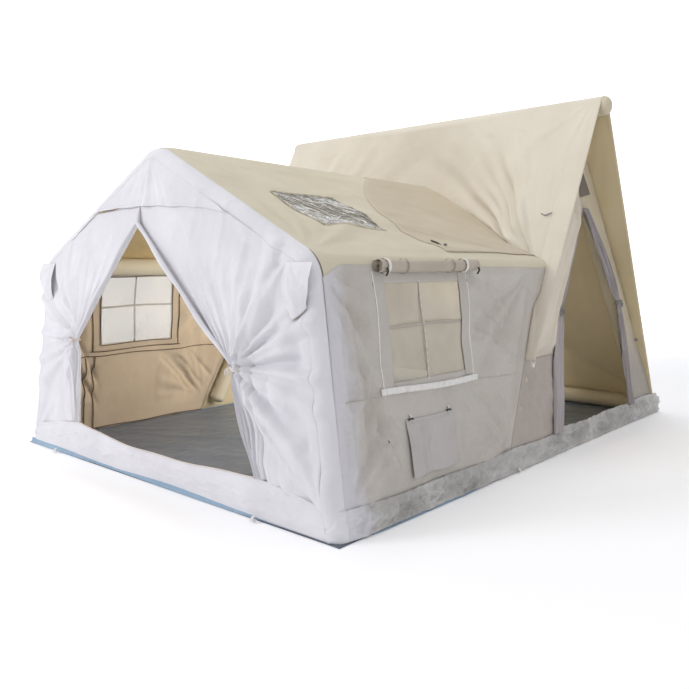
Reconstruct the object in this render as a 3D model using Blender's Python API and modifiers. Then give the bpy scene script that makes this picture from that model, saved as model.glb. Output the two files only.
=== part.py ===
"""An inflatable cabin tent: a gabled cabin that runs into a taller A-shaped tower.

Air beams stand at the edges, each a fabric sleeve round a bladder. Fabric panels span from beam to
beam, and a groundsheet closes the base. Metres, +Z up. The origin is the middle of the footprint on
the ground, the front gable faces -Y and the wall with the rolled blind faces +X.
"""

import math

import bmesh
import bpy
from mathutils import Matrix, Quaternion, Vector

# Footprint
base_width = 3.60
base_length = 4.80
skirt_room = 0.015

# Fabrics
skin = 0.003
floor_skin = 0.003
film_skin = 0.0015
touch_gap = 0.0003
weld_gap = 0.00003
butt_gap = 0.001

# Cabin
cabin_height = 2.32
cabin_ridge_drop = 0.06
eave_height = 1.55
eave_drop = 0.04
eave_half = 1.53
eave_flare = 0.14
front_lean = 0.10
valley_set_back = 0.005

# Tower
tower_span = 3.00
tower_height = 2.86
tower_half = 1.78
ridge_overhang = 0.055
gable_lean = 0.22
gable_lean_height = 1.95

# Air beams
beam_radius = 0.075
sleeve_wall = 0.0015
bladder_wall = 0.0015
link_port_radius = 0.014
beam_slack = 0.002
arch_bend = 0.16
tower_bend_spare = 0.012
rear_beam_clear = 0.012
eave_beam_settle = 0.0001
ridge_beam_settle = 0.0014

# Skirt band round the base
skirt_height = 0.17
skirt_wrinkle = 0.005
skirt_wrinkle_pitch = 0.38
skirt_blend = 0.22

# Front doors
brow_drop_left = 0.470
brow_drop_middle = 0.415
brow_drop_right = 0.530
brow_hem_middle_x = -0.25
brow_hem_end_x = 1.02
brow_overlap = 0.045
brow_lift = 0.0038
door_apex_x = -0.13
left_tie_x = -1.01
left_tie_height = 0.93
left_foot_x = -0.98
right_tie_x = 0.89
right_tie_height = 0.885
right_foot_x = 1.13
sill_left = 0.29
sill_middle = 0.21
sill_right = 0.255
sill_left_x = -1.00
sill_right_x = 1.15
curtain_fold_depth = 0.035
tie_strap_height = 0.045
tie_strap_run = 0.09
tie_strap_wrap = 0.155

# Side door in the right gable
side_apex_y = 0.95
side_apex_height = 1.98
side_front_foot_y = 0.16
side_rear_foot_y = 1.69
side_front_tie_y = 0.38
side_rear_tie_y = 1.56
side_tie_height = 1.14
flap_width = 0.10
flap_fold_depth = 0.016
flap_stand_off = 0.022

# Windows
window_front_y = -1.77
window_rear_y = -1.02
window_sill = 0.80
window_head = 1.39
window_mullion = 0.03
window_mullion_y = -1.43
window_transom = 1.13
window_seam = 0.02
blind_radius = 0.042
blind_front_y = -1.85
blind_rear_y = -0.87
blind_height = 1.492
zip_front_y = -1.86
zip_rear_y = -0.93
zip_slider_drop = 0.005
slider_width = 0.012
slider_length = 0.030
slider_depth = 0.006

# Skylight
skylight_front_y = -1.75
skylight_rear_y = -1.17
skylight_seam = 0.015

# Port flap
port_front_y = -1.70
port_rear_y = -1.22
port_top = 0.57
port_bottom = 0.22

# Inflation valves
valve_height = 1.36
valve_shift = 0.024
valve_neck = 0.016
valve_bore = 0.012
valve_flange = 0.024
valve_flange_thick = 0.003
valve_depth = 0.032
valve_fit = 0.0005
cap_radius = 0.022
cap_thick = 0.008
cap_plug_depth = 0.004
cap_grip = 0.006
pin_stem = 0.004
pin_disc = 0.0145
pin_disc_thick = 0.002
pin_tip_set_back = 0.006
cover_inner_x = 1.34
cover_outer_x = 1.55
cover_top = 1.52
cover_bottom = 1.21
cover_bulge = 0.026

# Roof overlap
overlap_front_y = -1.00
overlap_ridge_y = -0.08

# Shares chosen by hand
skylight_top_share = 0.40
skylight_foot_share = 0.70
valley_bend_share = 1.9
valley_flat_share = 0.80
gather_share = 2.4
overlap_low_share = 0.80
overlap_row_shares = (0, 0.06, 0.12, 0.19, 0.25, 0.32, 0.4, 0.47, 0.55, 0.61, 0.68, 0.74, 0.8, 0.87, 0.94)
roof_row_shares = (0.0, 0.12, 0.25, 0.40, 0.55, 0.70, 0.80, 1.0)
roof_column_shares = (1 / 3, 2 / 3, 1.0)
valley_row_shares = (0.0, 0.12, 0.25, 0.40, 0.55, 0.68, 0.80, 0.96)
strip_row_shares = (1.0, 0.88, 0.76, 0.64, 0.52)
curtain_flat_share = 0.16
tie_bulge_share = 0.25
flap_drawn_share = 0.35
level_shares = (0.0, 0.5, 1.0)
back_column_shares = (-1.0, -0.5, 0.0, 0.5, 1.0)
gable_upper_shares = (1 / 3, 2 / 3, 0.97)
fold_growth_share = 1.2
fold_spacing_share = 1.3
flap_spread_shares = (0.55, 0.85, 1.2)
flap_start_share = 0.25
cap_chamfer_share = 0.8
cap_rim_share = 0.92
cap_grip_share = 0.25
cover_bulge_share = 0.8
cover_dip_share = 0.08
blind_sag_share = 0.15
rear_contact_share = 0.67
side_tie_share = 0.45
slider_round_share = 0.25
beam_dome_shares = ((0.0, 0.30), (0.12, 0.62), (0.35, 0.86), (1.0, 1.0))

# Counts
beam_resolution = 3
bend_steps = 4
turned_steps = 20
curtain_folds = 6
curtain_rows_each = 6
flap_rows_each = 4
skirt_columns = 36
curtain_columns = 30
flap_folds = 3
flap_columns = 13
brow_columns = 20
slope_rows_up = 6
back_rows_up = 4
overlap_columns = 4
cover_rows = 8
cover_columns = 4
blind_steps = 4
tie_steps = 12
side_tie_steps = 6

# Sharp edges start at these angles, in degrees
fabric_crease = 50
tube_crease = 40
turned_crease = 35

# Worked out from the sizes above
half_width = base_width / 2
half_length = base_length / 2
wall_foot = half_width - skirt_room
front_foot = -half_length + skirt_room
tower_rear = half_length - skirt_room
tower_front = tower_rear - tower_span
tower_mid = tower_rear - tower_span / 2
seat = floor_skin + touch_gap
beam_inset = skin + touch_gap + beam_radius
ridge_z = tower_height - beam_radius
valley_ridge_y = tower_mid - beam_inset - valley_set_back
ridge_reach = math.hypot(ridge_z, tower_span / 2)
slope_angle = math.atan2(ridge_z, tower_span / 2) + math.asin(beam_inset / ridge_reach)
eave_rear_height = eave_height - eave_drop
eave_rear_y = tower_front + eave_rear_height / math.tan(slope_angle)
strip_foot = eave_rear_height * strip_row_shares[-1]
arch_x = wall_foot - beam_inset
wall_lean = math.atan2(wall_foot - eave_half, eave_height)
gable_lean_angle = math.atan2(gable_lean, gable_lean_height)
slope_lean = math.pi / 2 - slope_angle
front_lean_angle = math.atan2(front_lean, cabin_height)


def mix(first, second, share):
    return first + (second - first) * share


def finish(name, colour, roughness, metallic=0.0, alpha=1.0):
    material = bpy.data.materials.new(name)
    material.use_nodes = True
    shader = material.node_tree.nodes["Principled BSDF"]
    shader.inputs["Base Color"].default_value = (*colour, 1.0)
    shader.inputs["Roughness"].default_value = roughness
    shader.inputs["Metallic"].default_value = metallic
    shader.inputs["Alpha"].default_value = alpha
    return material


def clear_scene():
    for old in list(bpy.data.objects):
        bpy.data.objects.remove(old, do_unlink=True)


def collection(name, hidden=False):
    made = bpy.data.collections.new(name)
    made.hide_render = hidden
    bpy.context.scene.collection.children.link(made)
    return made


def add_object(name, data, material, smooth_angle=None):
    """Puts a mesh in the tent's collection under its own name."""
    data.materials.append(material)
    if smooth_angle is not None:
        data.shade_smooth()
        data.set_sharp_from_angle(angle=smooth_angle)
    made = bpy.data.objects.new(name, data)
    tent.objects.link(made)
    return made


def panel(name, rows, outward, material, wall=skin, keep=None):
    """A fabric panel: rows of points on its outer face, joined by quads and thickened inwards."""
    mesh = bmesh.new()
    grid = [[mesh.verts.new(point) for point in row] for row in rows]
    for i in range(len(rows) - 1):
        for j in range(len(rows[0]) - 1):
            if keep is None or keep(i, j):
                mesh.faces.new((grid[i][j], grid[i][j + 1], grid[i + 1][j + 1]))
                mesh.faces.new((grid[i][j], grid[i + 1][j + 1], grid[i + 1][j]))
    loose = [vert for vert in mesh.verts if not vert.link_faces]
    bmesh.ops.delete(mesh, geom=loose, context="VERTS")
    bmesh.ops.remove_doubles(mesh, verts=mesh.verts, dist=weld_gap)
    mesh.normal_update()
    facing = sum((face.normal * face.calc_area() for face in mesh.faces), Vector())
    if facing.dot(outward) < 0:
        bmesh.ops.reverse_faces(mesh, faces=mesh.faces)
    data = bpy.data.meshes.new(name)
    mesh.to_mesh(data)
    mesh.free()
    made = add_object(name, data, material, smooth_angle=math.radians(fabric_crease))
    thicken = made.modifiers.new("fabric", "SOLIDIFY")
    thicken.thickness = wall
    thicken.offset = -1
    return made


def rounded(points, radius):
    """The path through the points, with each corner between them turned into an arc."""
    path = [points[0]]
    for before, corner, after in zip(points, points[1:], points[2:]):
        into = (corner - before).normalized()
        out = (after - corner).normalized()
        turn = into.angle(out)
        start = corner - into * radius * math.tan(turn / 2)
        centre = corner + (out - into).normalized() * radius / math.cos(turn / 2)
        axis = into.cross(out)
        for step in range(bend_steps + 1):
            swing = Quaternion(axis, turn * step / bend_steps)
            path.append(centre + swing @ (start - centre))
    path.append(points[-1])
    return path


def tube_mesh(name, path, radius, shares=None, caps=False):
    """The mesh of a round tube along a path. Shares give its radius at each point."""
    curve = bpy.data.curves.new(name + "_path", "CURVE")
    curve.dimensions = "3D"
    curve.bevel_depth = radius
    curve.bevel_resolution = beam_resolution
    curve.use_fill_caps = caps
    spline = curve.splines.new("POLY")
    spline.points.add(len(path) - 1)
    for index, place in enumerate(path):
        spline.points[index].co = (*place, 1)
        spline.points[index].radius = shares[index] if shares else 1
    route = bpy.data.objects.new(name + "_path", curve)
    bpy.context.scene.collection.objects.link(route)
    bpy.context.view_layer.update()
    graph = bpy.context.evaluated_depsgraph_get()
    data = bpy.data.meshes.new_from_object(route.evaluated_get(graph))
    data.name = name
    bpy.data.objects.remove(route, do_unlink=True)
    mesh = bmesh.new()
    mesh.from_mesh(data)
    bmesh.ops.remove_doubles(mesh, verts=mesh.verts, dist=weld_gap)
    mesh.to_mesh(data)
    mesh.free()
    data.materials.clear()
    return data


def hollow_tube(name, path, radius, wall, material, shares=None):
    data = tube_mesh(name, path, radius, shares)
    made = add_object(name, data, material, smooth_angle=math.radians(tube_crease))
    thicken = made.modifiers.new("wall", "SOLIDIFY")
    thicken.thickness = wall
    thicken.offset = -1
    return made


def air_beam(name, path):
    """A sleeve with open ends, and in it the bladder with a domed end round a small link port."""
    sleeve = hollow_tube(name + "_sleeve", path, beam_radius, sleeve_wall, sleeve_fabric)
    bladder_radius = beam_radius - sleeve_wall - touch_gap
    start = (path[1] - path[0]).normalized()
    end = (path[-2] - path[-1]).normalized()
    head = [path[0] + start * (touch_gap + bladder_radius * along) for along, _ in beam_dome_shares]
    tail = [path[-1] + end * (touch_gap + bladder_radius * along) for along, _ in beam_dome_shares]
    rim = link_port_radius / bladder_radius
    around = [rim] + [radius for _, radius in beam_dome_shares[1:]]
    points = head + path[1:-1] + tail[::-1]
    shares = around + [1] * (len(path) - 2) + around[::-1]
    bladder = hollow_tube(name + "_bladder", points, bladder_radius, bladder_wall, bladder_film, shares)
    return sleeve, bladder


def inset_corner(before, corner, after, inset):
    """A corner in the X-Z plane, moved inside both of its lines by the inset."""
    sides = []
    for line in (corner - before, after - corner):
        sides.append(Vector((-line.y, line.x)).normalized())
    return corner + (sides[0] + sides[1]) * inset / (1 + sides[0].dot(sides[1]))


def front_y(z):
    """The outer face of the leaning front wall."""
    return front_foot + front_lean * z / cabin_height


def leaning_seat(lean, depth=skin):
    """The lowest height of a leaning piece's outer edge, so that its inner edge clears the floor."""
    return seat + depth * math.sin(lean)


def eave_share(y):
    return (y - front_foot) / (eave_rear_y - front_foot)


def eave_x(y):
    return eave_half + eave_flare * eave_share(y)


def eave_z(y):
    return eave_height - eave_drop * eave_share(y)


def cabin_ridge_z(y):
    return cabin_height - cabin_ridge_drop * (y - front_foot) / (valley_ridge_y - front_foot)


def wall_point(side, y, z, lift=0.0):
    """A point on the outer face of a side wall, lifted off it outwards."""
    x = mix(wall_foot, eave_x(y), z / eave_z(y))
    out = Vector((eave_z(y), 0, wall_foot - eave_x(y))).normalized()
    return Vector((side * (x + out.x * lift), y, z + out.z * lift))


def roof_point(side, share, y, lift=0.0):
    """A point on the outer face of a roof side, at a share of the way from ridge to eave."""
    out = Vector((cabin_ridge_z(y) - eave_z(y), 0, eave_x(y))).normalized()
    x = eave_x(y) * share + out.x * lift
    return Vector((side * x, y, mix(cabin_ridge_z(y), eave_z(y), share) + out.z * lift))


def valley_y(share):
    """Where the tower's front slope meets the cabin roof."""
    bend = min(share / valley_flat_share, 1) ** valley_bend_share
    return mix(valley_ridge_y, eave_rear_y, bend)


def valley_chord_y(share):
    """The same line as the slope's mesh draws it, straight from one of its rows to the next."""
    for low, high in zip(valley_row_shares, valley_row_shares[1:]):
        if share <= high:
            return mix(valley_y(low), valley_y(high), (share - low) / (high - low))
    return valley_y(share)


def slope_y(z):
    """The outer face of the tower's front slope, at its two edges."""
    return tower_front + z / math.tan(slope_angle)


def gable_x(z):
    """The outer face of the tower's end walls, which lean in."""
    return wall_foot - gable_lean * z / gable_lean_height


def tower_arch_x(z):
    """The middle line of a tower arch, which leans in with the end wall outside it."""
    return gable_x(z) - beam_inset / math.cos(gable_lean_angle)


def ridge_tangent(y, z):
    """Where a straight run of fabric from this point meets the tower's ridge beam."""
    run, rise = tower_mid - y, ridge_z - z
    reach = math.sqrt(run * run + rise * rise - beam_inset * beam_inset)
    angle = math.atan2(rise, run) + math.asin(beam_inset / math.hypot(run, rise))
    return y + reach * math.cos(angle), z + reach * math.sin(angle)


def section_corners(y, inset):
    """Foot, eave and ridge of the cabin's right half at y, moved inside its faces."""
    foot = Vector((wall_foot, 0))
    eave = Vector((eave_x(y), eave_z(y)))
    ridge = Vector((0, cabin_ridge_z(y)))
    mirrored = Vector((-eave.x, eave.y))
    lean = (eave - foot).normalized()
    foot_in = foot + Vector((-lean.y, lean.x)) * inset
    return foot_in, inset_corner(foot, eave, ridge, inset), inset_corner(eave, ridge, mirrored, inset)


def arch_edge_x(z, inset):
    """Half the width of the front wall at a height, measured inside its outline by the inset."""
    foot, eave, ridge = section_corners(front_foot, inset)
    if z < eave.y:
        return mix(foot.x, eave.x, (z - foot.y) / (eave.y - foot.y))
    return mix(eave.x, ridge.x, (z - eave.y) / (ridge.y - eave.y))


def arch_top(x, inset):
    """The height of the front wall's outline at x, inside it by the inset."""
    _, eave, ridge = section_corners(front_foot, inset)
    return mix(ridge.y, eave.y, abs(x) / eave.x)


def brow_hem(x):
    """The lower edge of the fixed gable panel over the front doors."""
    if x < brow_hem_middle_x:
        share = (brow_hem_middle_x - x) / (brow_hem_middle_x + brow_hem_end_x)
        return cabin_height - mix(brow_drop_middle, brow_drop_left, share**2)
    share = (x - brow_hem_middle_x) / (brow_hem_end_x - brow_hem_middle_x)
    return cabin_height - mix(brow_drop_middle, brow_drop_right, share**2)


def sill_top(x):
    """The upper edge of the band across the front, which hangs between the door feet."""
    if x < sill_left_x:
        return mix(skirt_height, sill_left, (x + wall_foot) / (sill_left_x + wall_foot))
    if x > sill_right_x:
        return mix(skirt_height, sill_right, (wall_foot - x) / (wall_foot - sill_right_x))
    end = sill_left if x < 0 else sill_right
    span = sill_left_x if x < 0 else sill_right_x
    return mix(sill_middle, end, (x / span) ** 2)


def build_groundsheet():
    size = Vector((base_width, base_length, floor_skin))
    mesh = bmesh.new()
    bmesh.ops.create_cube(mesh, size=1, matrix=Matrix.Diagonal((*size, 1)))
    bmesh.ops.translate(mesh, verts=mesh.verts, vec=Vector((0, 0, floor_skin / 2)))
    data = bpy.data.meshes.new("groundsheet")
    mesh.to_mesh(data)
    mesh.free()
    add_object("groundsheet", data, floor_fabric)


def build_front_arch():
    _, eave, ridge = section_corners(front_foot, beam_inset + beam_slack)
    foot_z = leaning_seat(math.hypot(wall_lean, front_lean_angle), beam_radius) + touch_gap
    foot_x = arch_edge_x(foot_z, beam_inset + beam_slack)
    half = [Vector((foot_x, foot_z)), eave]
    flat = half + [ridge] + [Vector((-point.x, point.y)) for point in reversed(half)]
    path = [Vector((point.x, front_y(point.y) + beam_inset, point.y)) for point in flat]
    path = rounded(path, arch_bend)
    sleeve, bladder = air_beam("front_arch", path)
    for side in (1, -1):
        centre = valve_place(side)
        hole = valve_neck + valve_fit
        profile = [(0, -valve_depth), (hole, -valve_depth), (hole, valve_depth), (0, valve_depth)]
        cutter = turned("valve_hole_" + side_name(side), profile, None)
        cutter.matrix_world = valve_frame(centre)
        for tube in (sleeve, bladder):
            cut = tube.modifiers.new("valve_hole", "BOOLEAN")
            cut.object = cutter


def side_name(side):
    return "right" if side > 0 else "left"


def build_straight_beams():
    start = front_y(eave_height) + beam_inset + beam_radius + beam_slack
    for side in (1, -1):
        inset = beam_inset - eave_beam_settle
        rear_z = eave_rear_height - beam_inset - beam_radius
        end = slope_y(rear_z) - beam_slack
        path = []
        for y in (start, end):
            eave = section_corners(y, inset)[1]
            path.append(Vector((side * eave.x, y, eave.y)))
        air_beam("eave_beam_" + side_name(side), path)
    start = front_y(cabin_height) + beam_inset + beam_radius + beam_slack
    path = []
    for y in (start, valley_ridge_y):
        ridge = section_corners(y, beam_inset - ridge_beam_settle)[2]
        path.append(Vector((0, y, ridge.y)))
    air_beam("cabin_ridge_beam", path)
    end = tower_half + ridge_overhang
    ends = [Vector((side * end, tower_mid, ridge_z)) for side in (-1, 1)]
    air_beam("tower_ridge_beam", ends)
    z = seat + beam_radius + rear_beam_clear
    lift = beam_inset / math.sin(slope_angle) + z / math.tan(slope_angle)
    y = tower_rear - lift - beam_slack
    contact = z + beam_radius * rear_contact_share
    reach = tower_arch_x(contact) - beam_radius / math.cos(gable_lean_angle) - touch_gap
    air_beam("rear_base_beam", [Vector((-reach, y, z)), Vector((reach, y, z))])


def build_tower_arches():
    half_apex = math.pi / 2 - slope_angle
    clear = 2 * beam_radius + touch_gap + tower_bend_spare
    bend = clear / (1 / math.sin(half_apex) - 1)
    foot_z = leaning_seat(math.hypot(slope_lean, gable_lean_angle), beam_radius) + touch_gap
    inset = beam_inset / math.sin(slope_angle)
    for side in (1, -1):
        front = Vector((side * tower_arch_x(foot_z), slope_y(foot_z) + inset, foot_z))
        rear = Vector((front.x, 2 * tower_mid - front.y, foot_z))
        apex = Vector((side * tower_arch_x(ridge_z), tower_mid, ridge_z))
        air_beam("tower_arch_" + side_name(side), rounded([front, apex, rear], bend))


def wall_line_places():
    """The upright lines of a side wall's mesh, shared by what lies on the wall."""
    mullion = window_mullion / 2
    places = [window_front_y - window_seam, window_front_y, port_front_y]
    places += [window_mullion_y - mullion, window_mullion_y + mullion, port_rear_y]
    return places + [window_rear_y, window_rear_y + window_seam, (window_rear_y + tower_front) / 2]


def wall_line_heights():
    """The level lines of a side wall's mesh, from its foot up to the window's head."""
    mullion = window_mullion / 2
    heights = [leaning_seat(wall_lean), skirt_height]
    heights += [port_bottom, (port_bottom + port_top) / 2, port_top]
    heights += [window_sill - window_seam, window_sill, window_transom - mullion, window_transom + mullion]
    return heights + [window_head, window_head + window_seam]


def between(values, low, high):
    return [value for value in values if low <= value <= high]


def wall_patch(side, ys, zs, lift):
    return [[wall_point(side, y, z, lift) for y in ys] for z in zs]


def build_cabin_skins():
    places = wall_line_places()
    heights = wall_line_heights()
    sill = heights.index(window_sill)
    head = heights.index(window_head)
    first = 1 + places.index(window_front_y)
    last = 1 + places.index(window_rear_y)
    for side in (1, -1):
        rows = []
        for z in heights:
            ys = [front_y(z) + beam_inset] + places + [slope_y(z) - butt_gap]
            rows.append([wall_point(side, y, z) for y in ys])
        ys = [front_y(eave_height) + beam_inset] + places + [eave_rear_y - butt_gap]
        rows.append([roof_point(side, 1, y) - Vector((0, 0, skin)) for y in ys])
        window = (lambda i, j: not (sill <= i < head and first <= j < last))
        panel("wall_" + side_name(side), rows, Vector((side, 0, 0)), side_canvas, keep=window)
        rows = []
        for share in roof_row_shares:
            edge = front_y(mix(cabin_height, eave_height, share)) + beam_inset
            end = valley_y(share) - butt_gap
            ys = [edge, skylight_front_y, skylight_rear_y]
            ys += [mix(skylight_rear_y, end, step) for step in roof_column_shares]
            row = [roof_point(side, share, y) for y in ys]
            if share == 0:
                row = [point + Vector((side * skin, 0, 0)) for point in row]
            rows.append(row)
        top = roof_row_shares.index(skylight_top_share)
        low = roof_row_shares.index(skylight_foot_share)
        light = (lambda i, j: side < 0 or j != 1 or not top <= i < low)
        panel("roof_" + side_name(side), rows, Vector((side, 0, 1)), roof_canvas, keep=light)


def build_skylight():
    seam_share = skylight_seam / eave_half
    rows = []
    for share in (skylight_top_share - seam_share, skylight_foot_share + seam_share):
        ys = (skylight_front_y - skylight_seam, skylight_rear_y + skylight_seam)
        rows.append([roof_point(1, share, y, touch_gap + film_skin) for y in ys])
    panel("skylight_film", rows, Vector((1, 0, 1)), clear_film, film_skin)


def build_roof_overlaps():
    """The tower's fabric runs on over the cabin roof to a hollow, swept front edge."""
    for side in (1, -1):
        rows = []
        for share in overlap_row_shares:
            start = mix(overlap_front_y, overlap_ridge_y, (1 - share / overlap_low_share) ** 2)
            end = valley_chord_y(share) - 2 * butt_gap
            ys = steps_between(start, end, overlap_columns)
            row = [roof_point(side, share, y, 2 * butt_gap + skin) for y in ys]
            if share == 0:
                row = [point + Vector((side * skin, 0, 0)) for point in row]
            rows.append(row)
        panel("roof_overlap_" + side_name(side), rows, Vector((side, 0, 1)), tower_canvas)


def build_tower_slopes():
    rows = []
    lower = []
    for share in valley_row_shares:
        y = valley_y(share)
        lower.append(roof_point(1, share, y, 2 * touch_gap + skin) + Vector((0, butt_gap, 0)))
    for share in strip_row_shares:
        z = eave_rear_height * share
        lower.append(Vector((gable_x(z) - skin - butt_gap, slope_y(z) + 2 * butt_gap, z)))
    lower.append(Vector((tower_half, lower[-1].y, lower[-1].z)))
    points = [Vector((-point.x, point.y, point.z)) for point in lower[:0:-1]] + lower
    upper = []
    for point in points:
        y, z = ridge_tangent(point.y, point.z)
        upper.append(Vector((point.x, y, z)))
    for share in steps_between(0, 1, slope_rows_up):
        rows.append([low.lerp(high, share) for low, high in zip(points, upper)])
    panel("tower_slope_front", rows, Vector((0, -1, 1)), tower_canvas)
    top = ridge_tangent(tower_front, 0)[1]
    rows = []
    for height in steps_between(leaning_seat(slope_lean), top, back_rows_up):
        place = 2 * tower_mid - slope_y(height)
        rows.append([Vector((tower_half * share, place, height)) for share in back_column_shares])
    panel("tower_slope_back", rows, Vector((0, 1, 1)), tower_canvas)


def sagging_slope_y(x, z):
    """The outer face of the tower's front slope over the cabin, where the roof draws it back."""
    share = min(x / eave_x(eave_rear_y), 1)
    low = roof_point(1, share, valley_y(share))
    high_y, high_z = ridge_tangent(low.y, low.z)
    return mix(low.y, high_y, max(z - low.z, 0) / (high_z - low.z))


def gable_front_edge(z):
    """The end wall's front edge, just inside the slope's fabric."""
    if z < strip_foot - 3 * butt_gap:
        return slope_y(z) + 2 * butt_gap
    fabric = (skin + 2 * butt_gap) / math.sin(slope_angle)
    if z <= eave_rear_height:
        return slope_y(z) + fabric + beam_slack
    x = gable_x(z) - skin
    return max(slope_y(z), sagging_slope_y(x, z)) + fabric + beam_slack


def gable_rear_edge(z):
    return 2 * tower_mid - slope_y(z) - (skin + 2 * butt_gap) / math.sin(slope_angle)


def gable_point(side, y, z, lift=0.0):
    return Vector((side * (gable_x(z) + lift), y, z))


def door_edge(z, foot, tie):
    """The side door's edge: from foot to tie to apex."""
    if z < side_tie_height:
        return mix(foot, tie, z / side_tie_height)
    if z < side_apex_height:
        return mix(tie, side_apex_y, (z - side_tie_height) / (side_apex_height - side_tie_height))
    return side_apex_y


def build_tower_gables():
    top = ridge_z - beam_radius - butt_gap
    heights = [leaning_seat(gable_lean_angle), strip_foot - 4 * butt_gap]
    heights += [strip_foot - 2 * butt_gap, side_tie_height]
    heights += [eave_rear_height, eave_rear_height + beam_slack]
    heights += [mix(eave_rear_height, side_apex_height, share) for share in roof_column_shares]
    heights += [mix(side_apex_height, top, share) for share in gable_upper_shares]
    for side in (1, -1):
        rows = []
        for z in heights:
            front = gable_front_edge(z)
            rear = gable_rear_edge(z)
            if side > 0:
                inner_front = door_edge(z, side_front_foot_y, side_front_tie_y)
                inner_rear = door_edge(z, side_rear_foot_y, side_rear_tie_y)
            else:
                inner_front = inner_rear = tower_mid
            rows.append([gable_point(side, y, z) for y in (front, inner_front, inner_rear, rear)])
        cloth = (lambda i, j: j != 1)
        panel("tower_gable_" + side_name(side), rows, Vector((side, 0, 0)), side_canvas, keep=cloth)


def skirt_rows(along, place, top, low):
    """Rows for a band: a point from foot to top at each step, puckered between."""
    rows = []
    for level in level_shares:
        row = []
        for step in along:
            z = mix(low, top(step), level)
            wave = (1 + math.sin(math.tau * step / skirt_wrinkle_pitch)) / 2
            pucker = skirt_wrinkle * math.sin(math.pi * level) * wave
            row.append(place(step, z, butt_gap + skin + pucker))
        rows.append(row)
    return rows


def steps_between(start, end, count):
    return [mix(start, end, index / count) for index in range(count + 1)]


def build_skirts():
    level_top = (lambda step: skirt_height)

    def side_place(side):
        def place(y, z, lift):
            upright = Vector((side * (wall_foot + lift), y, z))
            share = (y - tower_front) / skirt_blend + 1
            return wall_point(side, y, z, lift).lerp(upright, min(max(share, 0), 1))

        return place

    for side in (1, -1):
        along = steps_between(front_foot + beam_inset, tower_rear, skirt_columns)
        rows = skirt_rows(along, side_place(side), level_top, leaning_seat(wall_lean))
        panel("skirt_" + side_name(side), rows, Vector((side, 0, 0)), skirt_fabric)
    across = steps_between(-arch_x, arch_x, skirt_columns)
    rows = skirt_rows(across, front_point, sill_top, leaning_seat(front_lean_angle))
    panel("skirt_front", rows, Vector((0, -1, 0)), front_canvas)
    rows = skirt_rows(across, rear_point, level_top, leaning_seat(slope_lean))
    panel("skirt_rear", rows, Vector((0, 1, 0)), skirt_fabric)


def front_point(x, z, lift=0.0):
    return Vector((x, front_y(z) - lift, z))


def rear_point(x, z, lift=0.0):
    return Vector((x, 2 * tower_mid - slope_y(z) + lift / math.sin(slope_angle), z))


def build_front_brow():
    rows = []
    for share in level_shares:
        row = []
        for x in steps_between(-brow_hem_end_x, brow_hem_end_x, brow_columns):
            top = arch_top(x, beam_inset)
            low = min(brow_hem(x), top - butt_gap)
            row.append(front_point(x, mix(low, top, share), brow_lift))
        rows.append(row)
    panel("front_brow", rows, Vector((0, -1, 0)), front_canvas)


def curtain_rows(side, tie, tie_height, foot):
    """A gathered door half: each column falls from the gable's edge through the tie to the sill."""
    edge_eave = section_corners(front_foot, beam_inset)[1]
    top_run = [Vector((side * edge_eave.x, edge_eave.y))]
    hem_x = brow_hem_end_x - brow_overlap
    top_run.append(Vector((side * hem_x, arch_top(hem_x, beam_inset))))
    top_run.append(Vector((door_apex_x + side * butt_gap, brow_hem(door_apex_x) + brow_overlap)))
    lengths = [0]
    for first, second in zip(top_run, top_run[1:]):
        lengths.append(lengths[-1] + (second - first).length)
    edge = arch_edge_x(tie_height, beam_inset)
    foot_edge = arch_edge_x(skirt_height, beam_inset)
    rows = []
    shares = steps_between(0, 1, curtain_rows_each)
    for part in range(2):
        for share in shares[part:]:
            row = []
            for across in steps_between(0, 1, curtain_columns):
                gather = 1 - (1 - across) ** gather_share
                place = across * lengths[-1]
                if place < lengths[1]:
                    top = top_run[0].lerp(top_run[1], place / lengths[1])
                else:
                    part_way = (place - lengths[1]) / (lengths[2] - lengths[1])
                    top = top_run[1].lerp(top_run[2], part_way)
                waist = Vector((mix(side * edge, tie, gather), tie_height))
                low_x = mix(side * foot_edge, foot, gather)
                low = Vector((low_x, sill_top(low_x) + butt_gap))
                spot = top.lerp(waist, share) if part == 0 else waist.lerp(low, share)
                grown = share**fold_growth_share if part == 0 else 1
                slack = max(across - curtain_flat_share, 0) / (1 - curtain_flat_share)
                slack = 1 - (1 - slack) ** gather_share
                wave = math.sin(math.tau * curtain_folds * across**fold_spacing_share)
                fold = wave * curtain_fold_depth * slack * grown
                row.append(front_point(spot.x, spot.y, fold))
            rows.append(row)
    return rows


def build_front_curtains():
    right = curtain_rows(1, right_tie_x, right_tie_height, right_foot_x)
    left = curtain_rows(-1, left_tie_x, left_tie_height, left_foot_x)
    for side, rows in ((1, right), (-1, left)):
        made = panel("front_curtain_" + side_name(side), rows, Vector((0, -1, 0)), front_canvas)
        cut = made.modifiers.new("valve_hole", "BOOLEAN")
        cut.object = bpy.data.objects["valve_hole_" + side_name(side)]


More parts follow.
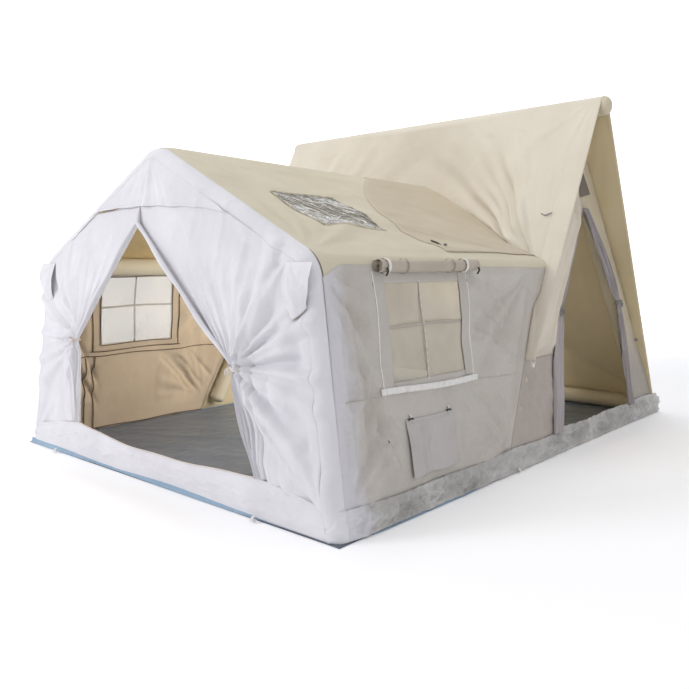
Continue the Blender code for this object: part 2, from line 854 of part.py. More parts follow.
def turned(name, profile, material):
    """A solid turned about Z from a profile of radius and height, listed from foot to top."""
    mesh = bmesh.new()
    verts = [mesh.verts.new((radius, 0, height)) for radius, height in reversed(profile)]
    for first, second in zip(verts, verts[1:]):
        mesh.edges.new((first, second))
    if profile[0][0] > 0 and profile[-1][0] > 0:
        mesh.edges.new((verts[-1], verts[0]))
    data = bpy.data.meshes.new(name)
    mesh.to_mesh(data)
    mesh.free()
    lathe = bpy.data.objects.new(name + "_lathe", data)
    bpy.context.scene.collection.objects.link(lathe)
    screw = lathe.modifiers.new("turn", "SCREW")
    screw.steps = screw.render_steps = turned_steps
    screw.use_merge_vertices = True
    screw.merge_threshold = weld_gap
    bpy.context.view_layer.update()
    graph = bpy.context.evaluated_depsgraph_get()
    solid = bpy.data.meshes.new_from_object(lathe.evaluated_get(graph))
    solid.name = name
    bpy.data.objects.remove(lathe, do_unlink=True)
    if material is not None:
        return add_object(name, solid, material, smooth_angle=math.radians(turned_crease))
    made = bpy.data.objects.new(name, solid)
    made.hide_render = True
    made.display_type = "WIRE"
    cutters.objects.link(made)
    return made


def valve_place(side):
    """The middle of the valve, on the outer face of the front fabric."""
    x = arch_edge_x(valve_height, beam_inset) - valve_shift
    return front_point(side * x, valve_height)


def valve_frame(place):
    """Turns a piece made about Z to point out of the front wall."""
    return Matrix.Translation(place) @ Matrix.Rotation(math.pi / 2 - front_lean_angle, 4, "X")


def build_valves():
    rim = touch_gap
    flange_top = rim + valve_flange_thick
    body = [
        (valve_bore, -valve_depth),
        (valve_neck, -valve_depth),
        (valve_neck, rim),
        (valve_flange, rim),
        (valve_flange, flange_top),
        (valve_bore, flange_top),
    ]
    cap_seat = flange_top + touch_gap
    plug = valve_bore - valve_fit
    cap = [
        (0, cap_seat - cap_plug_depth),
        (plug, cap_seat - cap_plug_depth),
        (plug, cap_seat),
        (cap_radius, cap_seat),
        (cap_radius, cap_seat + cap_thick * cap_chamfer_share),
        (cap_radius * cap_rim_share, cap_seat + cap_thick),
        (0, cap_seat + cap_thick),
    ]
    disc_top = -valve_depth - touch_gap
    pin = [
        (0, disc_top - pin_disc_thick),
        (pin_disc, disc_top - pin_disc_thick),
        (pin_disc, disc_top),
        (pin_stem, disc_top),
        (pin_stem, -pin_tip_set_back),
        (0, -pin_tip_set_back),
    ]
    for side in (1, -1):
        frame = valve_frame(valve_place(side))
        turned("valve_body_" + side_name(side), body, valve_plastic).matrix_world = frame
        turned("valve_pin_" + side_name(side), pin, pin_plastic).matrix_world = frame
        lid = turned("valve_cap_" + side_name(side), cap, cap_plastic)
        lid.matrix_world = frame
        size = (2 * cap_radius - cap_grip, cap_grip, cap_grip)
        grip = bar("valve_grip_" + side_name(side), size)
        grip_height = cap_seat + cap_thick + cap_grip * cap_grip_share
        grip.matrix_world = frame @ Matrix.Translation((0, 0, grip_height))
        join = lid.modifiers.new("grip", "BOOLEAN")
        join.operation = "UNION"
        join.object = grip


def bar(name, size):
    """A plain bar about its own middle, kept as a helper for a cut or a join."""
    mesh = bmesh.new()
    bmesh.ops.create_cube(mesh, size=1, matrix=Matrix.Diagonal((*size, 1)))
    data = bpy.data.meshes.new(name)
    mesh.to_mesh(data)
    mesh.free()
    made = bpy.data.objects.new(name, data)
    made.hide_render = True
    made.display_type = "WIRE"
    cutters.objects.link(made)
    return made


def build_valve_covers():
    """Cloth flaps that hang over the valves from a seam under the eave corner."""
    for side in (1, -1):
        rows = []
        for share in steps_between(0, 1, cover_rows):
            z = mix(cover_top, cover_bottom, share)
            bulge = cover_bulge * math.sin(math.pi * share**cover_bulge_share)
            stand = film_skin + touch_gap + bulge
            drop = (cover_top - cover_bottom) * cover_dip_share * share
            row = []
            for across in steps_between(0, 1, cover_columns):
                x = mix(cover_inner_x, cover_outer_x, across)
                dip = drop * math.cos(math.pi * across)
                row.append(front_point(side * x, z - dip, stand))
            rows.append(row)
        panel("valve_cover_" + side_name(side), rows, Vector((0, -1, 0)), front_canvas, film_skin)


def build_windows():
    inside = -(skin + touch_gap)
    low, high = window_front_y - window_seam, window_rear_y + window_seam
    screen_ys = between(wall_line_places(), low, high)
    low, high = window_sill - window_seam, window_head + window_seam
    screen_zs = between(wall_line_heights(), low, high)
    for side in (1, -1):
        rows = wall_patch(side, screen_ys, screen_zs, inside)
        panel("window_screen_" + side_name(side), rows, Vector((side, 0, 0)), screen_net, film_skin)
        ys = [window_front_y + touch_gap, window_mullion_y - window_mullion / 2]
        ys += [window_mullion_y + window_mullion / 2, window_rear_y - touch_gap]
        zs = [window_sill + touch_gap, window_transom - window_mullion / 2]
        zs += [window_transom + window_mullion / 2, window_head - touch_gap]
        rows = wall_patch(side, ys, zs, -touch_gap)
        cross = (lambda i, j: i == 1 or j == 1)
        name = "window_cross_" + side_name(side)
        panel(name, rows, Vector((side, 0, 0)), cross_webbing, film_skin, keep=cross)
        path = []
        for share in steps_between(0, 1, blind_steps):
            y = mix(blind_front_y, blind_rear_y, share)
            sag = blind_radius * blind_sag_share * math.sin(math.pi * share)
            path.append(wall_point(side, y, blind_height - sag, blind_radius))
        data = tube_mesh("blind", path, blind_radius, caps=True)
        crease = math.radians(fabric_crease)
        add_object("blind_roll_" + side_name(side), data, side_canvas, smooth_angle=crease)


def build_zip_sliders():
    for name, y in (("front", zip_front_y), ("rear", zip_rear_y)):
        size = (slider_depth, slider_width, slider_length)
        mesh = bmesh.new()
        bmesh.ops.create_cube(mesh, size=1, matrix=Matrix.Diagonal((*size, 1)))
        edges = [edge for edge in mesh.edges if edge.calc_length() > slider_depth]
        edge = slider_depth * slider_round_share
        bmesh.ops.bevel(mesh, geom=edges, offset=edge, segments=2, affect="EDGES")
        data = bpy.data.meshes.new("slider")
        mesh.to_mesh(data)
        mesh.free()
        made = add_object("zip_slider_" + name, data, slider_metal)
        place = wall_point(1, y, window_head - zip_slider_drop, slider_depth / 2 + butt_gap)
        lean = math.atan2(wall_foot - eave_x(y), eave_z(y))
        made.matrix_world = Matrix.Translation(place) @ Matrix.Rotation(-lean, 4, "Y")


def build_port_flap():
    ys = between(wall_line_places(), port_front_y, port_rear_y)
    zs = between(wall_line_heights(), port_bottom, port_top)
    panel("port_flap", wall_patch(1, ys, zs, skin + touch_gap), Vector((1, 0, 0)), front_canvas)


def build_side_flaps():
    """The side door's two halves, each gathered and tied back at its own edge."""
    narrow, middle, wide = flap_spread_shares
    for name, foot, tie, away in side_door_halves:
        rows = []
        for part in range(2):
            for share in steps_between(0, 1, flap_rows_each)[part:]:
                row = []
                for across in steps_between(0, 1, flap_columns):
                    if part == 0:
                        z = mix(side_apex_height, side_tie_height, share)
                        spread = mix(narrow, middle, share)
                    else:
                        z = mix(side_tie_height, skirt_height + butt_gap, share)
                        spread = mix(middle, wide, share)
                    edge = door_edge(z, foot, tie)
                    drawn = flap_drawn_share * (share if part == 0 else 1)
                    y = edge + away * (flap_width * spread * (across - drawn) + butt_gap)
                    grown = mix(flap_start_share, 1, share) if part == 0 else 1
                    fold = flap_fold_depth * math.sin(math.tau * flap_folds * across) * grown
                    row.append(gable_point(1, y, z, flap_stand_off + skin + fold))
                rows.append(row)
        panel("side_flap_" + name, rows, Vector((1, 0, 0)), side_canvas)


def strap(name, points, height, outward, material):
    """A flat webbing strap that stands on edge along a path."""
    half = Vector((0, 0, height / 2))
    rows = [[point + half for point in points], [point - half for point in points]]
    return panel(name, rows, outward, material, film_skin)


def build_tie_backs():
    depth = curtain_fold_depth + 2 * skin - butt_gap
    front_ties = ((1, right_tie_x, right_tie_height), (-1, left_tie_x, left_tie_height))
    for side, tie, height in front_ties:
        points = []
        for angle in steps_between(0, math.pi, tie_steps):
            x = tie + side * (tie_strap_run - tie_strap_wrap * math.sin(angle))
            swing = math.copysign(abs(math.cos(angle)) ** tie_bulge_share, math.cos(angle))
            points.append(front_point(x, height, depth * swing - skin / 2))
        strap("tie_back_" + side_name(side), points, tie_strap_height, Vector((0, -1, 0)), tie_webbing)
    lift = flap_stand_off + flap_fold_depth + skin + 3 * butt_gap + film_skin
    for name, _, tie, away in side_door_halves:
        points = []
        for across in steps_between(0, 1, side_tie_steps):
            y = tie + away * flap_width * (across - side_tie_share)
            points.append(gable_point(1, y, side_tie_height, lift))
        strap("side_tie_back_" + name, points, tie_strap_height, Vector((1, 0, 0)), tie_webbing)


side_door_halves = (
    ("front", side_front_foot_y, side_front_tie_y, -1),
    ("rear", side_rear_foot_y, side_rear_tie_y, 1),
)
tent = collection("inflatable_tent")
cutters = collection("cutters", hidden=True)


def main():
    build_groundsheet()
    build_front_arch()
    build_straight_beams()
    build_tower_arches()
    build_cabin_skins()
    build_skylight()
    build_roof_overlaps()
    build_tower_slopes()
    build_tower_gables()
    build_skirts()
    build_front_brow()
    build_front_curtains()
    build_valves()
    build_valve_covers()
    build_windows()
    build_zip_sliders()
    build_port_flap()
    build_side_flaps()
    build_tie_backs()


clear_scene()
front_canvas = finish("front_canvas", (0.72, 0.71, 0.72), 0.85)
roof_canvas = finish("roof_canvas", (0.56, 0.51, 0.42), 0.85)
side_canvas = finish("side_canvas", (0.48, 0.44, 0.40), 0.85)
tower_canvas = finish("tower_canvas", (0.62, 0.57, 0.47), 0.85)
skirt_fabric = finish("skirt_fabric", (0.50, 0.50, 0.50), 0.7)
floor_fabric = finish("floor_fabric", (0.12, 0.16, 0.20), 0.6)
sleeve_fabric = finish("sleeve_fabric", (0.60, 0.56, 0.48), 0.85)
bladder_film = finish("bladder_film", (0.75, 0.75, 0.72), 0.35)
clear_film = finish("clear_film", (0.80, 0.82, 0.80), 0.15, alpha=0.4)
screen_net = finish("screen_net", (0.30, 0.30, 0.30), 0.8, alpha=0.5)
cross_webbing = finish("cross_webbing", (0.35, 0.35, 0.36), 0.8)
tie_webbing = finish("tie_webbing", (0.45, 0.42, 0.38), 0.8)
valve_plastic = finish("valve_plastic", (0.08, 0.08, 0.09), 0.45)
cap_plastic = finish("cap_plastic", (0.10, 0.10, 0.11), 0.4)
pin_plastic = finish("pin_plastic", (0.65, 0.65, 0.65), 0.4)
slider_metal = finish("slider_metal", (0.25, 0.25, 0.26), 0.35, metallic=0.9)
main()
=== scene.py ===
# %% [markdown]
# # An inflatable cabin tent
#
# A gabled cabin of canvas runs into a taller A-shaped tower. Tubes of air hold the cloth at its
# edges. Each cell below makes one kind of thing and prints what it made. Lengths are in metres,
# +Z is up, the front gable faces -Y and the wall with the open side door faces +X.

# %% Load the frame
import math

import bmesh
import bpy
import numpy as np
from mathutils import Matrix, Vector


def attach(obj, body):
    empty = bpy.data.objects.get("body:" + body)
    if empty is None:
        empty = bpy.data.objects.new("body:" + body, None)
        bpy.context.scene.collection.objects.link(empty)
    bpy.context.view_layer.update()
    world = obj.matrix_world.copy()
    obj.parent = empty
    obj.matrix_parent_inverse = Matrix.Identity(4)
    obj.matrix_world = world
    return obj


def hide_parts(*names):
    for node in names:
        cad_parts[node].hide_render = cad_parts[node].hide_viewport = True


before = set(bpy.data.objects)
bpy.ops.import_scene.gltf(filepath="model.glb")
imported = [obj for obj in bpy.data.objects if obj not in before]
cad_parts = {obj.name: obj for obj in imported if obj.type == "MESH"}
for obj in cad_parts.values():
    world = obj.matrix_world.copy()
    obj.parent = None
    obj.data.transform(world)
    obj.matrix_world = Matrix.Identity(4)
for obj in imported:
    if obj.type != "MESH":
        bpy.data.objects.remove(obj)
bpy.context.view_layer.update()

# %% [markdown]
# ## Sizes
# The cloth hangs from these. They are the same sizes that the solids were drawn from, so each
# piece of cloth lands on the solid that it stands for.

# %% Sizes
HALF_WIDTH, HALF_LENGTH = 1.80, 2.40
WALL_FOOT, FRONT_FOOT = 1.785, -2.385
TOWER_FRONT, TOWER_REAR, TOWER_MID = -0.615, 2.385, 0.885
SKIN, GAP = 0.003, 0.0003
CABIN_HEIGHT, RIDGE_DROP = 2.32, 0.06
EAVE_HEIGHT, EAVE_DROP, EAVE_HALF, EAVE_FLARE = 1.55, 0.04, 1.53, 0.14
FRONT_LEAN = 0.10
TOWER_HEIGHT, TOWER_HALF, RIDGE_END = 2.86, 1.78, 1.835
GABLE_LEAN, GABLE_LEAN_HEIGHT = 0.22, 1.95
BEAM = 0.075
INSET = SKIN + GAP + BEAM
RIDGE_Z = TOWER_HEIGHT - BEAM
VALLEY_RIDGE_Y = TOWER_MID - INSET - 0.005
REACH = math.hypot(RIDGE_Z, TOWER_MID - TOWER_FRONT)
SLOPE = math.atan2(RIDGE_Z, TOWER_MID - TOWER_FRONT) + math.asin(INSET / REACH)
EAVE_REAR_Z = EAVE_HEIGHT - EAVE_DROP
EAVE_REAR_Y = TOWER_FRONT + EAVE_REAR_Z / math.tan(SLOPE)
ARCH_X = WALL_FOOT - INSET
SKIRT = 0.17


def mix(a, b, t):
    """From a to b, by the share t."""
    return a + (b - a) * t


def smooth(t):
    """0 to 1 with no corner at either end."""
    t = np.clip(t, 0, 1)
    return t * t * (3 - 2 * t)


def bell(x, middle, width):
    """1 at the middle, and fading to both sides over about the width."""
    return np.exp(-(((x - middle) / width) ** 2))


def points(*parts):
    """Arrays of x, y and z as one array of points."""
    return np.stack(np.broadcast_arrays(*parts), axis=-1).astype(float)


def front_y(z):
    """The leaning front face."""
    return FRONT_FOOT + FRONT_LEAN * z / CABIN_HEIGHT


def eave_share(y):
    return (y - FRONT_FOOT) / (EAVE_REAR_Y - FRONT_FOOT)


def eave_x(y):
    return EAVE_HALF + EAVE_FLARE * eave_share(y)


def eave_z(y):
    return EAVE_HEIGHT - EAVE_DROP * eave_share(y)


def ridge_z(y):
    return CABIN_HEIGHT - RIDGE_DROP * (y - FRONT_FOOT) / (VALLEY_RIDGE_Y - FRONT_FOOT)


def slope_y(z):
    """The tower's front slope at its two edges."""
    return TOWER_FRONT + z / math.tan(SLOPE)


def valley_y(share):
    """Where the tower's front slope meets the cabin roof, from ridge to eave."""
    return mix(VALLEY_RIDGE_Y, EAVE_REAR_Y, np.minimum(share / 0.8, 1) ** 1.9)


def ridge_tangent(y, z):
    """Where cloth pulled straight up from here meets the tower's ridge tube."""
    run, rise = TOWER_MID - y, RIDGE_Z - z
    far = np.hypot(run, rise)
    angle = np.arctan2(rise, run) + np.arcsin(INSET / far)
    reach = np.sqrt(far * far - INSET * INSET)
    return y + reach * np.cos(angle), z + reach * np.sin(angle)


def unit(v):
    return v / np.linalg.norm(v, axis=-1, keepdims=True)


def corner_frame(y):
    """Foot, eave and ridge of the right half at y, with the inward normals of wall and roof."""
    foot = np.stack([np.full_like(y, WALL_FOOT), np.zeros_like(y)], -1)
    eave = np.stack([eave_x(y), eave_z(y)], -1)
    ridge = np.stack([np.zeros_like(y), ridge_z(y)], -1)
    wall, roof = unit(eave - foot), unit(ridge - eave)
    wall_in = np.stack([-wall[..., 1], wall[..., 0]], -1)
    roof_in = np.stack([-roof[..., 1], roof[..., 0]], -1)
    return foot, eave, ridge, wall_in, roof_in


def wall_point(side, y, z, lift=0.0):
    """A point of a side wall's outer face, lifted off it."""
    x = mix(WALL_FOOT, eave_x(y), z / eave_z(y))
    out = unit(points(eave_z(y), 0, WALL_FOOT - eave_x(y)))
    return points(side * x, y, z) + out * np.array([side, 1, 1]) * np.asarray(lift)[..., None]


def roof_point(side, share, y, lift=0.0):
    """A point of the roof's taut face, 0 on the ridge and 1 at the eave, lifted off it."""
    share, y = np.broadcast_arrays(np.asarray(share, float), np.asarray(y, float))
    _, eave, ridge, _, roof_in = corner_frame(y)
    spot = mix(ridge, eave, share[..., None]) - roof_in * lift
    return points(side * spot[..., 0], y, spot[..., 1])


def front_point(x, z, lift=0.0):
    """A point of the front face, lifted off it."""
    return points(x, front_y(z) - lift, z)


def gable_point(side, y, z, lift=0.0):
    """A point of one of the tower's end walls, lifted off it."""
    return points(side * (gable_x(z) + lift), y, z)


def gable_x(z):
    return WALL_FOOT - GABLE_LEAN * z / GABLE_LEAN_HEIGHT


def inset_corners(y, inset):
    """Foot, eave and ridge of the right half at one y, inside the outline by the inset."""
    foot, eave, ridge, wall_in, roof_in = (a[0] for a in corner_frame(np.array([float(y)])))
    other = roof_in * np.array([-1, 1])
    eave = eave + (wall_in + roof_in) * inset / (1 + wall_in @ roof_in)
    ridge = ridge + (roof_in + other) * inset / (1 + roof_in @ other)
    return foot + wall_in * inset, eave, ridge


def arch_edge_x(z, inset=INSET):
    """Half the width of the front wall at a height, inside its outline by the inset."""
    foot, eave, ridge = inset_corners(FRONT_FOOT, inset)
    low = mix(foot[0], eave[0], (z - foot[1]) / (eave[1] - foot[1]))
    high = mix(eave[0], ridge[0], (z - eave[1]) / (ridge[1] - eave[1]))
    return np.where(z < eave[1], low, high)


_, arch_eave, arch_ridge = inset_corners(FRONT_FOOT, INSET)
print("tower slope", round(math.degrees(SLOPE), 2), "degrees, valley foot at y", round(EAVE_REAR_Y, 3))

# %% [markdown]
# ## Camera, light and floor
# The camera stands where the photograph's camera stood. The key light comes from the front left,
# so that the front gable is the brightest face and the side wall is in soft shade.

# %% Camera, light and floor
YAW, PITCH, ROLL = math.radians(42.013), math.radians(6.388), math.radians(-0.285)
CAMERA_PLACE, LENS, SENSOR, FAR_CLIP = (4.3321, -5.1614, 1.5147), 38.24, 36.0, 200.0
SKY_COLOUR, SKY_STRENGTH = (0.95, 0.96, 1.0, 1), 0.62
ahead = Vector((-math.sin(YAW) * math.cos(PITCH), math.cos(YAW) * math.cos(PITCH), -math.sin(PITCH)))
right = ahead.cross(Vector((0, 0, 1))).normalized()
above = right.cross(ahead)
turned_right = math.cos(ROLL) * right + math.sin(ROLL) * above
turned_above = math.cos(ROLL) * above - math.sin(ROLL) * right
lens = bpy.data.cameras.new("camera")
lens.lens, lens.sensor_width, lens.clip_end = LENS, SENSOR, FAR_CLIP
camera = bpy.data.objects.new("camera", lens)
camera.matrix_world = Matrix.Translation(CAMERA_PLACE) @ Matrix(
    (turned_right, turned_above, -ahead)
).transposed().to_4x4()
bpy.context.scene.collection.objects.link(camera)
bpy.context.scene.camera = camera
bpy.context.scene.view_settings.view_transform = "Standard"


def area_light(name, place, aim, size, power, colour):
    """A round soft light that the camera doesn't see."""
    data = bpy.data.lights.new(name, "AREA")
    data.shape, data.size, data.energy, data.color = "DISK", size, power, colour
    lamp = bpy.data.objects.new(name, data)
    lamp.location = place
    lamp.visible_camera = False
    lamp.rotation_euler = (Vector(aim) - Vector(place)).to_track_quat("-Z", "Y").to_euler()
    bpy.context.scene.collection.objects.link(lamp)


# Each row: name, place, aim, size in metres, power in watts and colour.
LIGHTS = (
    ("key", (-4.5, -9.5, 6.0), (0, -1.5, 1.0), 4.0, 415, (1.0, 0.99, 1.0)),
    ("fill", (9.0, -3.0, 4.0), (1.0, 0.0, 1.0), 5.0, 58, (1.0, 0.97, 0.94)),
    ("top", (0.5, -1.0, 9.0), (0, 0, 1.0), 6.0, 200, (1.0, 0.99, 0.96)),
    ("inside", (0.7, -0.6, 1.25), (-1.5, -1.1, 0.75), 0.8, 27, (1.0, 0.98, 0.96)),
    ("inside_tower", (0.7, 0.9, 1.4), (-1.2, 1.0, 0.9), 0.8, 52, (1.0, 0.98, 0.96)),
)
for light in LIGHTS:
    area_light(*light)
world = bpy.data.worlds.new("studio")
world.use_nodes = True
sky = world.node_tree.nodes["Background"].inputs
sky["Color"].default_value, sky["Strength"].default_value = SKY_COLOUR, SKY_STRENGTH
bpy.context.scene.world = world
print("camera", tuple(round(v, 2) for v in camera.location), "and", len(LIGHTS), "soft lights")

# %% [markdown]
# ## Shader maths in plain writing
# A Field wraps one shader socket, so that a pattern can be written as a formula. Every other node
# comes from its one node() method.


# %% Shader maths
class Field:
    """A shader value that takes part in plain sums."""

    def __init__(self, tree, socket):
        self.tree, self.socket = tree, socket

    def node(self, kind, inputs=None, out=0, **settings):
        """Adds a node, links or sets its named inputs, and gives one of its outputs."""
        made = self.tree.nodes.new(kind)
        for key, value in settings.items():
            setattr(made, key, value)
        for key, value in (inputs or {}).items():
            if isinstance(value, Field):
                self.tree.links.new(value.socket, made.inputs[key])
            else:
                made.inputs[key].default_value = value
        return Field(self.tree, made.outputs[out])

    def maths(self, operation, *others):
        values = dict(enumerate((self, *others)))
        return self.node("ShaderNodeMath", values, operation=operation)

    def __add__(self, other):
        return self.maths("ADD", other)

    def __mul__(self, other):
        return self.maths("MULTIPLY", other)

    def __sub__(self, other):
        return self.maths("SUBTRACT", other)

    def __pow__(self, other):
        return self.maths("POWER", other)

    def __rsub__(self, other):
        return self * -1 + other

    __radd__, __rmul__ = __add__, __mul__

    def wave(self):
        return self.maths("SINE")

    def size(self):
        return self.maths("ABSOLUTE")

    def ramp(self, low, high):
        """0 below low, 1 above high, and smooth between."""
        inputs = {"Value": self, "From Min": low, "From Max": high}
        return self.node("ShaderNodeMapRange", inputs, interpolation_type="SMOOTHSTEP")

    def noise(self, scale, detail=3.0, rough=0.55):
        """A cloud pattern over this vector field, about 0 to 1."""
        inputs = {"Vector": self, "Scale": scale, "Detail": detail, "Roughness": rough}
        return self.node("ShaderNodeTexNoise", inputs)

    def parts(self):
        """The x, y and z of this vector field."""
        x = self.node("ShaderNodeSeparateXYZ", {"Vector": self})
        links = x.socket.node.outputs
        return [Field(self.tree, links[i]) for i in range(3)]

    def blend(self, first, second):
        """A colour between two, by this field."""
        first, second = (c if isinstance(c, Field) else (*c, 1) for c in (first, second))
        return self.node("ShaderNodeMix", {0: self, 6: first, 7: second}, out=2, data_type="RGBA")

    def bump(self, distance, strength=1.0, before=None):
        inputs = {"Height": self, "Distance": distance, "Strength": strength}
        if before is not None:
            inputs["Normal"] = before
        return self.node("ShaderNodeBump", inputs)


# %% [markdown]
# Each look below is a function of its colours and of a few numbers, so that one function makes
# every canvas of the tent, and others its tapes, its nets, its clear films and its hard parts.

# %% Looks
def linear(red, green, blue):
    """A screen colour, 0 to 255, as the linear colour that a shader takes."""
    return tuple(((c / 255 + 0.055) / 1.055) ** 2.4 for c in (red, green, blue))


def blank(name):
    """A material with only its output, and a Field to build its pattern from."""
    made = bpy.data.materials.new(name)
    made.use_nodes = True
    tree = made.node_tree
    tree.nodes.clear()
    output = tree.nodes.new("ShaderNodeOutputMaterial")
    start = Field(tree, None)
    object_place = start.node("ShaderNodeTexCoord", out=3)
    uv_place = Field(tree, object_place.socket.node.outputs["UV"])
    return made, output, object_place, uv_place


def shade(mats, shader, output):
    mats.node_tree.links.new(shader.socket, output.inputs["Surface"])
    return mats


THREAD, RIB = 0.0011, 0.0028


def canvas(name, colour, dark, rough=0.88, clear=0.2, crumple=0.0022, coated=0.0, low=None, front=None):
    """Woven cloth: two crossing threads, soft creases, faint soiling, and light that comes through.

    A colour for the cloth near the ground or near the front may be given as well."""
    colour, dark = linear(*colour), linear(*dark)
    made, output, place, uv = blank(name)
    u, v, _ = uv.parts()
    weave = (u * (math.tau / THREAD)).wave() * (v * (math.tau / THREAD)).wave()
    soft = place.noise(2.3, 4.0)
    fine = place.noise(9.0, 5.0, 0.6)
    creases = 1 - (place.noise(5.5, 4.0, 0.5) - 0.5).size() * 5
    mottle = soft.ramp(0.1, 0.9)
    tone = mottle.blend(dark, colour)
    # Near the front the cloth takes the lit front's whiter, cooler tone: painted light.
    if front:
        tone = (place.parts()[1] + fine * 0.2).ramp(-2.16, -1.96).blend(linear(*front), tone)
    if low:
        tone = (place.parts()[2] + fine * 0.25).ramp(0.55, 1.25).blend(linear(*low), tone)
    grain = (fine * 0.5 + weave * 0.08 + 0.25).ramp(0.2, 0.8)
    flecked = {0: 0.10, 6: tone, 7: grain.blend(dark, colour)}
    tone = grain.node("ShaderNodeMix", flecked, out=2, data_type="RGBA")
    bent = creases.bump(crumple, 0.6)
    bent = (fine + weave * 0.05).bump(crumple * 0.6, 0.5, bent)
    cloth = place.node(
        "ShaderNodeBsdfPrincipled",
        {
            "Base Color": tone,
            "Roughness": fine * 0.12 + (rough - 0.06),
            "Normal": bent,
            "Sheen Weight": 0.12,
            "Specular IOR Level": 0.25,
            "Coat Weight": coated,
            "Coat Roughness": 0.35,
        },
    )
    through = place.node("ShaderNodeBsdfTranslucent", {"Color": (*colour, 1.0), "Normal": bent})
    both = place.node("ShaderNodeMixShader", {0: clear, 1: cloth, 2: through})
    return shade(made, both, output)


def plain(name, colour, rough, metal=0.0, fleck=0.06, bump=0.0004):
    """Moulded plastic or metal with a fine grain."""
    colour = linear(*colour)
    made, output, place, _ = blank(name)
    grain = place.noise(60.0, 4.0, 0.6)
    worn = tuple(min(1, c * 1.25 + 0.01) for c in colour)
    solid = place.node(
        "ShaderNodeBsdfPrincipled",
        {
            "Base Color": grain.ramp(0.35, 0.8).blend(colour, worn),
            "Roughness": grain * fleck + rough,
            "Normal": grain.bump(bump, 0.4),
            "Metallic": metal,
        },
    )
    return shade(made, solid, output)


def webbing(name, colour, dark):
    """Flat woven tape, ribbed along its length."""
    colour, dark = linear(*colour), linear(*dark)
    made, output, place, uv = blank(name)
    u, v, _ = uv.parts()
    ribs = (v * (math.tau / RIB)).wave() * 0.5 + 0.5
    cross = (u * (math.tau / (2 * THREAD))).wave() * 0.5 + 0.5
    worn = place.noise(40.0, 4.0)
    tape = place.node(
        "ShaderNodeBsdfPrincipled",
        {
            "Base Color": (ribs * 0.35 + worn * 0.65).ramp(0.2, 0.8).blend(dark, colour),
            "Roughness": worn * 0.1 + 0.75,
            "Normal": (ribs + cross * 0.6).bump(0.0005, 0.6),
            "Sheen Weight": 0.1,
        },
    )
    return shade(made, tape, output)


def netting(name, colour, pitch, thread_share):
    """Insect net: fine threads with clear squares between them."""
    colour = linear(*colour)
    made, output, place, uv = blank(name)
    u, v, _ = uv.parts()
    lines = []
    for axis in (u, v):
        lines.append((axis * (1 / pitch)).maths("FRACT").maths("LESS_THAN", thread_share))
    threads = lines[0].maths("MAXIMUM", lines[1])
    haze = place.noise(3.0, 3.0)
    cloth = place.node(
        "ShaderNodeBsdfPrincipled",
        {
            "Base Color": haze.ramp(0.3, 0.8).blend(colour, tuple(c * 0.8 for c in colour)),
            "Roughness": haze * 0.1 + 0.8,
        },
    )
    clear = place.node("ShaderNodeBsdfTransparent", {"Color": (1, 1, 1, 1)})
    return shade(made, place.node("ShaderNodeMixShader", {0: threads, 1: clear, 2: cloth}), output)


def clear_film(name, tint, streaks=0.5):
    """Thin clear plastic: mostly see-through, with long bright glints on its creases painted into its
    colour as highlights.
    """
    tint = linear(*tint)
    made, output, place, uv = blank(name)
    u, v, _ = uv.parts()
    along = (u * 0.62 + v * 0.78) * 5.0
    across = (u * 0.78 - v * 0.62) * 34.0
    drawn = place.node("ShaderNodeCombineXYZ", {"X": along, "Y": across})
    glint = drawn.noise(1.0, 3.0, 0.6)
    drawn = place.node("ShaderNodeCombineXYZ", {"X": across * 0.22, "Y": along * 3.2})
    crossed = drawn.noise(1.0, 3.0, 0.6)
    # Painted highlights: long streaks that turn the colour near white, standing for glints of light on
    # the creases.
    painted_glint = glint.ramp(0.56, 0.66).maths("MAXIMUM", crossed.ramp(0.62, 0.70))
    shine = place.node(
        "ShaderNodeBsdfPrincipled",
        {
            "Base Color": painted_glint.blend(tint, (0.93, 0.93, 0.90)),
            "Roughness": glint * 0.15 + 0.05,
            "Normal": (glint + crossed * 0.5).bump(0.006, 0.7),
            "Coat Weight": 1.0,
            "Coat Roughness": 0.05,
        },
    )
    clear = place.node("ShaderNodeBsdfTransparent", {"Color": (0.80, 0.80, 0.76, 1)})
    share = painted_glint * (1 - streaks) + streaks
    return shade(made, place.node("ShaderNodeMixShader", {0: share, 1: clear, 2: shine}), output)


# %% [markdown]
# Every colour is given as it would show on a screen, first the cloth's main one and then the darker one
# that it is mottled with. The roof's cream is the cloth's own colour. The front, tower, side and fly
# canvases are the same cloth, painted lighter or darker for the light that falls on each.

# %% Materials
# front_cloth is painted light: whiter and cooler than the roof's cloth, the way the lit front looks.
front_cloth = canvas("front_cloth", (236, 235, 239), (220, 218, 223), clear=0.12, crumple=0.006)
roof_cloth = canvas("roof_cloth", (226, 219, 198), (216, 208, 185), clear=0.2)
# tower_cloth is painted light: a little lighter than the roof's cloth, the way the lit slope looks.
tower_cloth = canvas("tower_cloth", (233, 227, 213), (222, 214, 198), clear=0.2)
# fly_cloth is painted shade: darker than the tower's cloth, for the doubled layer that lets less light
# through.
fly_cloth = canvas("fly_cloth", (214, 203, 181), (204, 192, 168), clear=0.18)
# side_cloth is painted shade: greyer than the roof's cloth, because the side walls lie in shade. Near
# the front it takes the lit front's tone, which is painted light.
side_cloth = canvas("side_cloth", (216, 211, 204), (198, 192, 184), clear=0.2, crumple=0.012,
                    front=(226, 225, 232))
flap_cloth = canvas("flap_cloth", (196, 190, 190), (176, 169, 170), clear=0.15)
gable_cloth = canvas("gable_cloth", (221, 211, 188), (208, 197, 172), clear=0.2, low=(176, 170, 164))
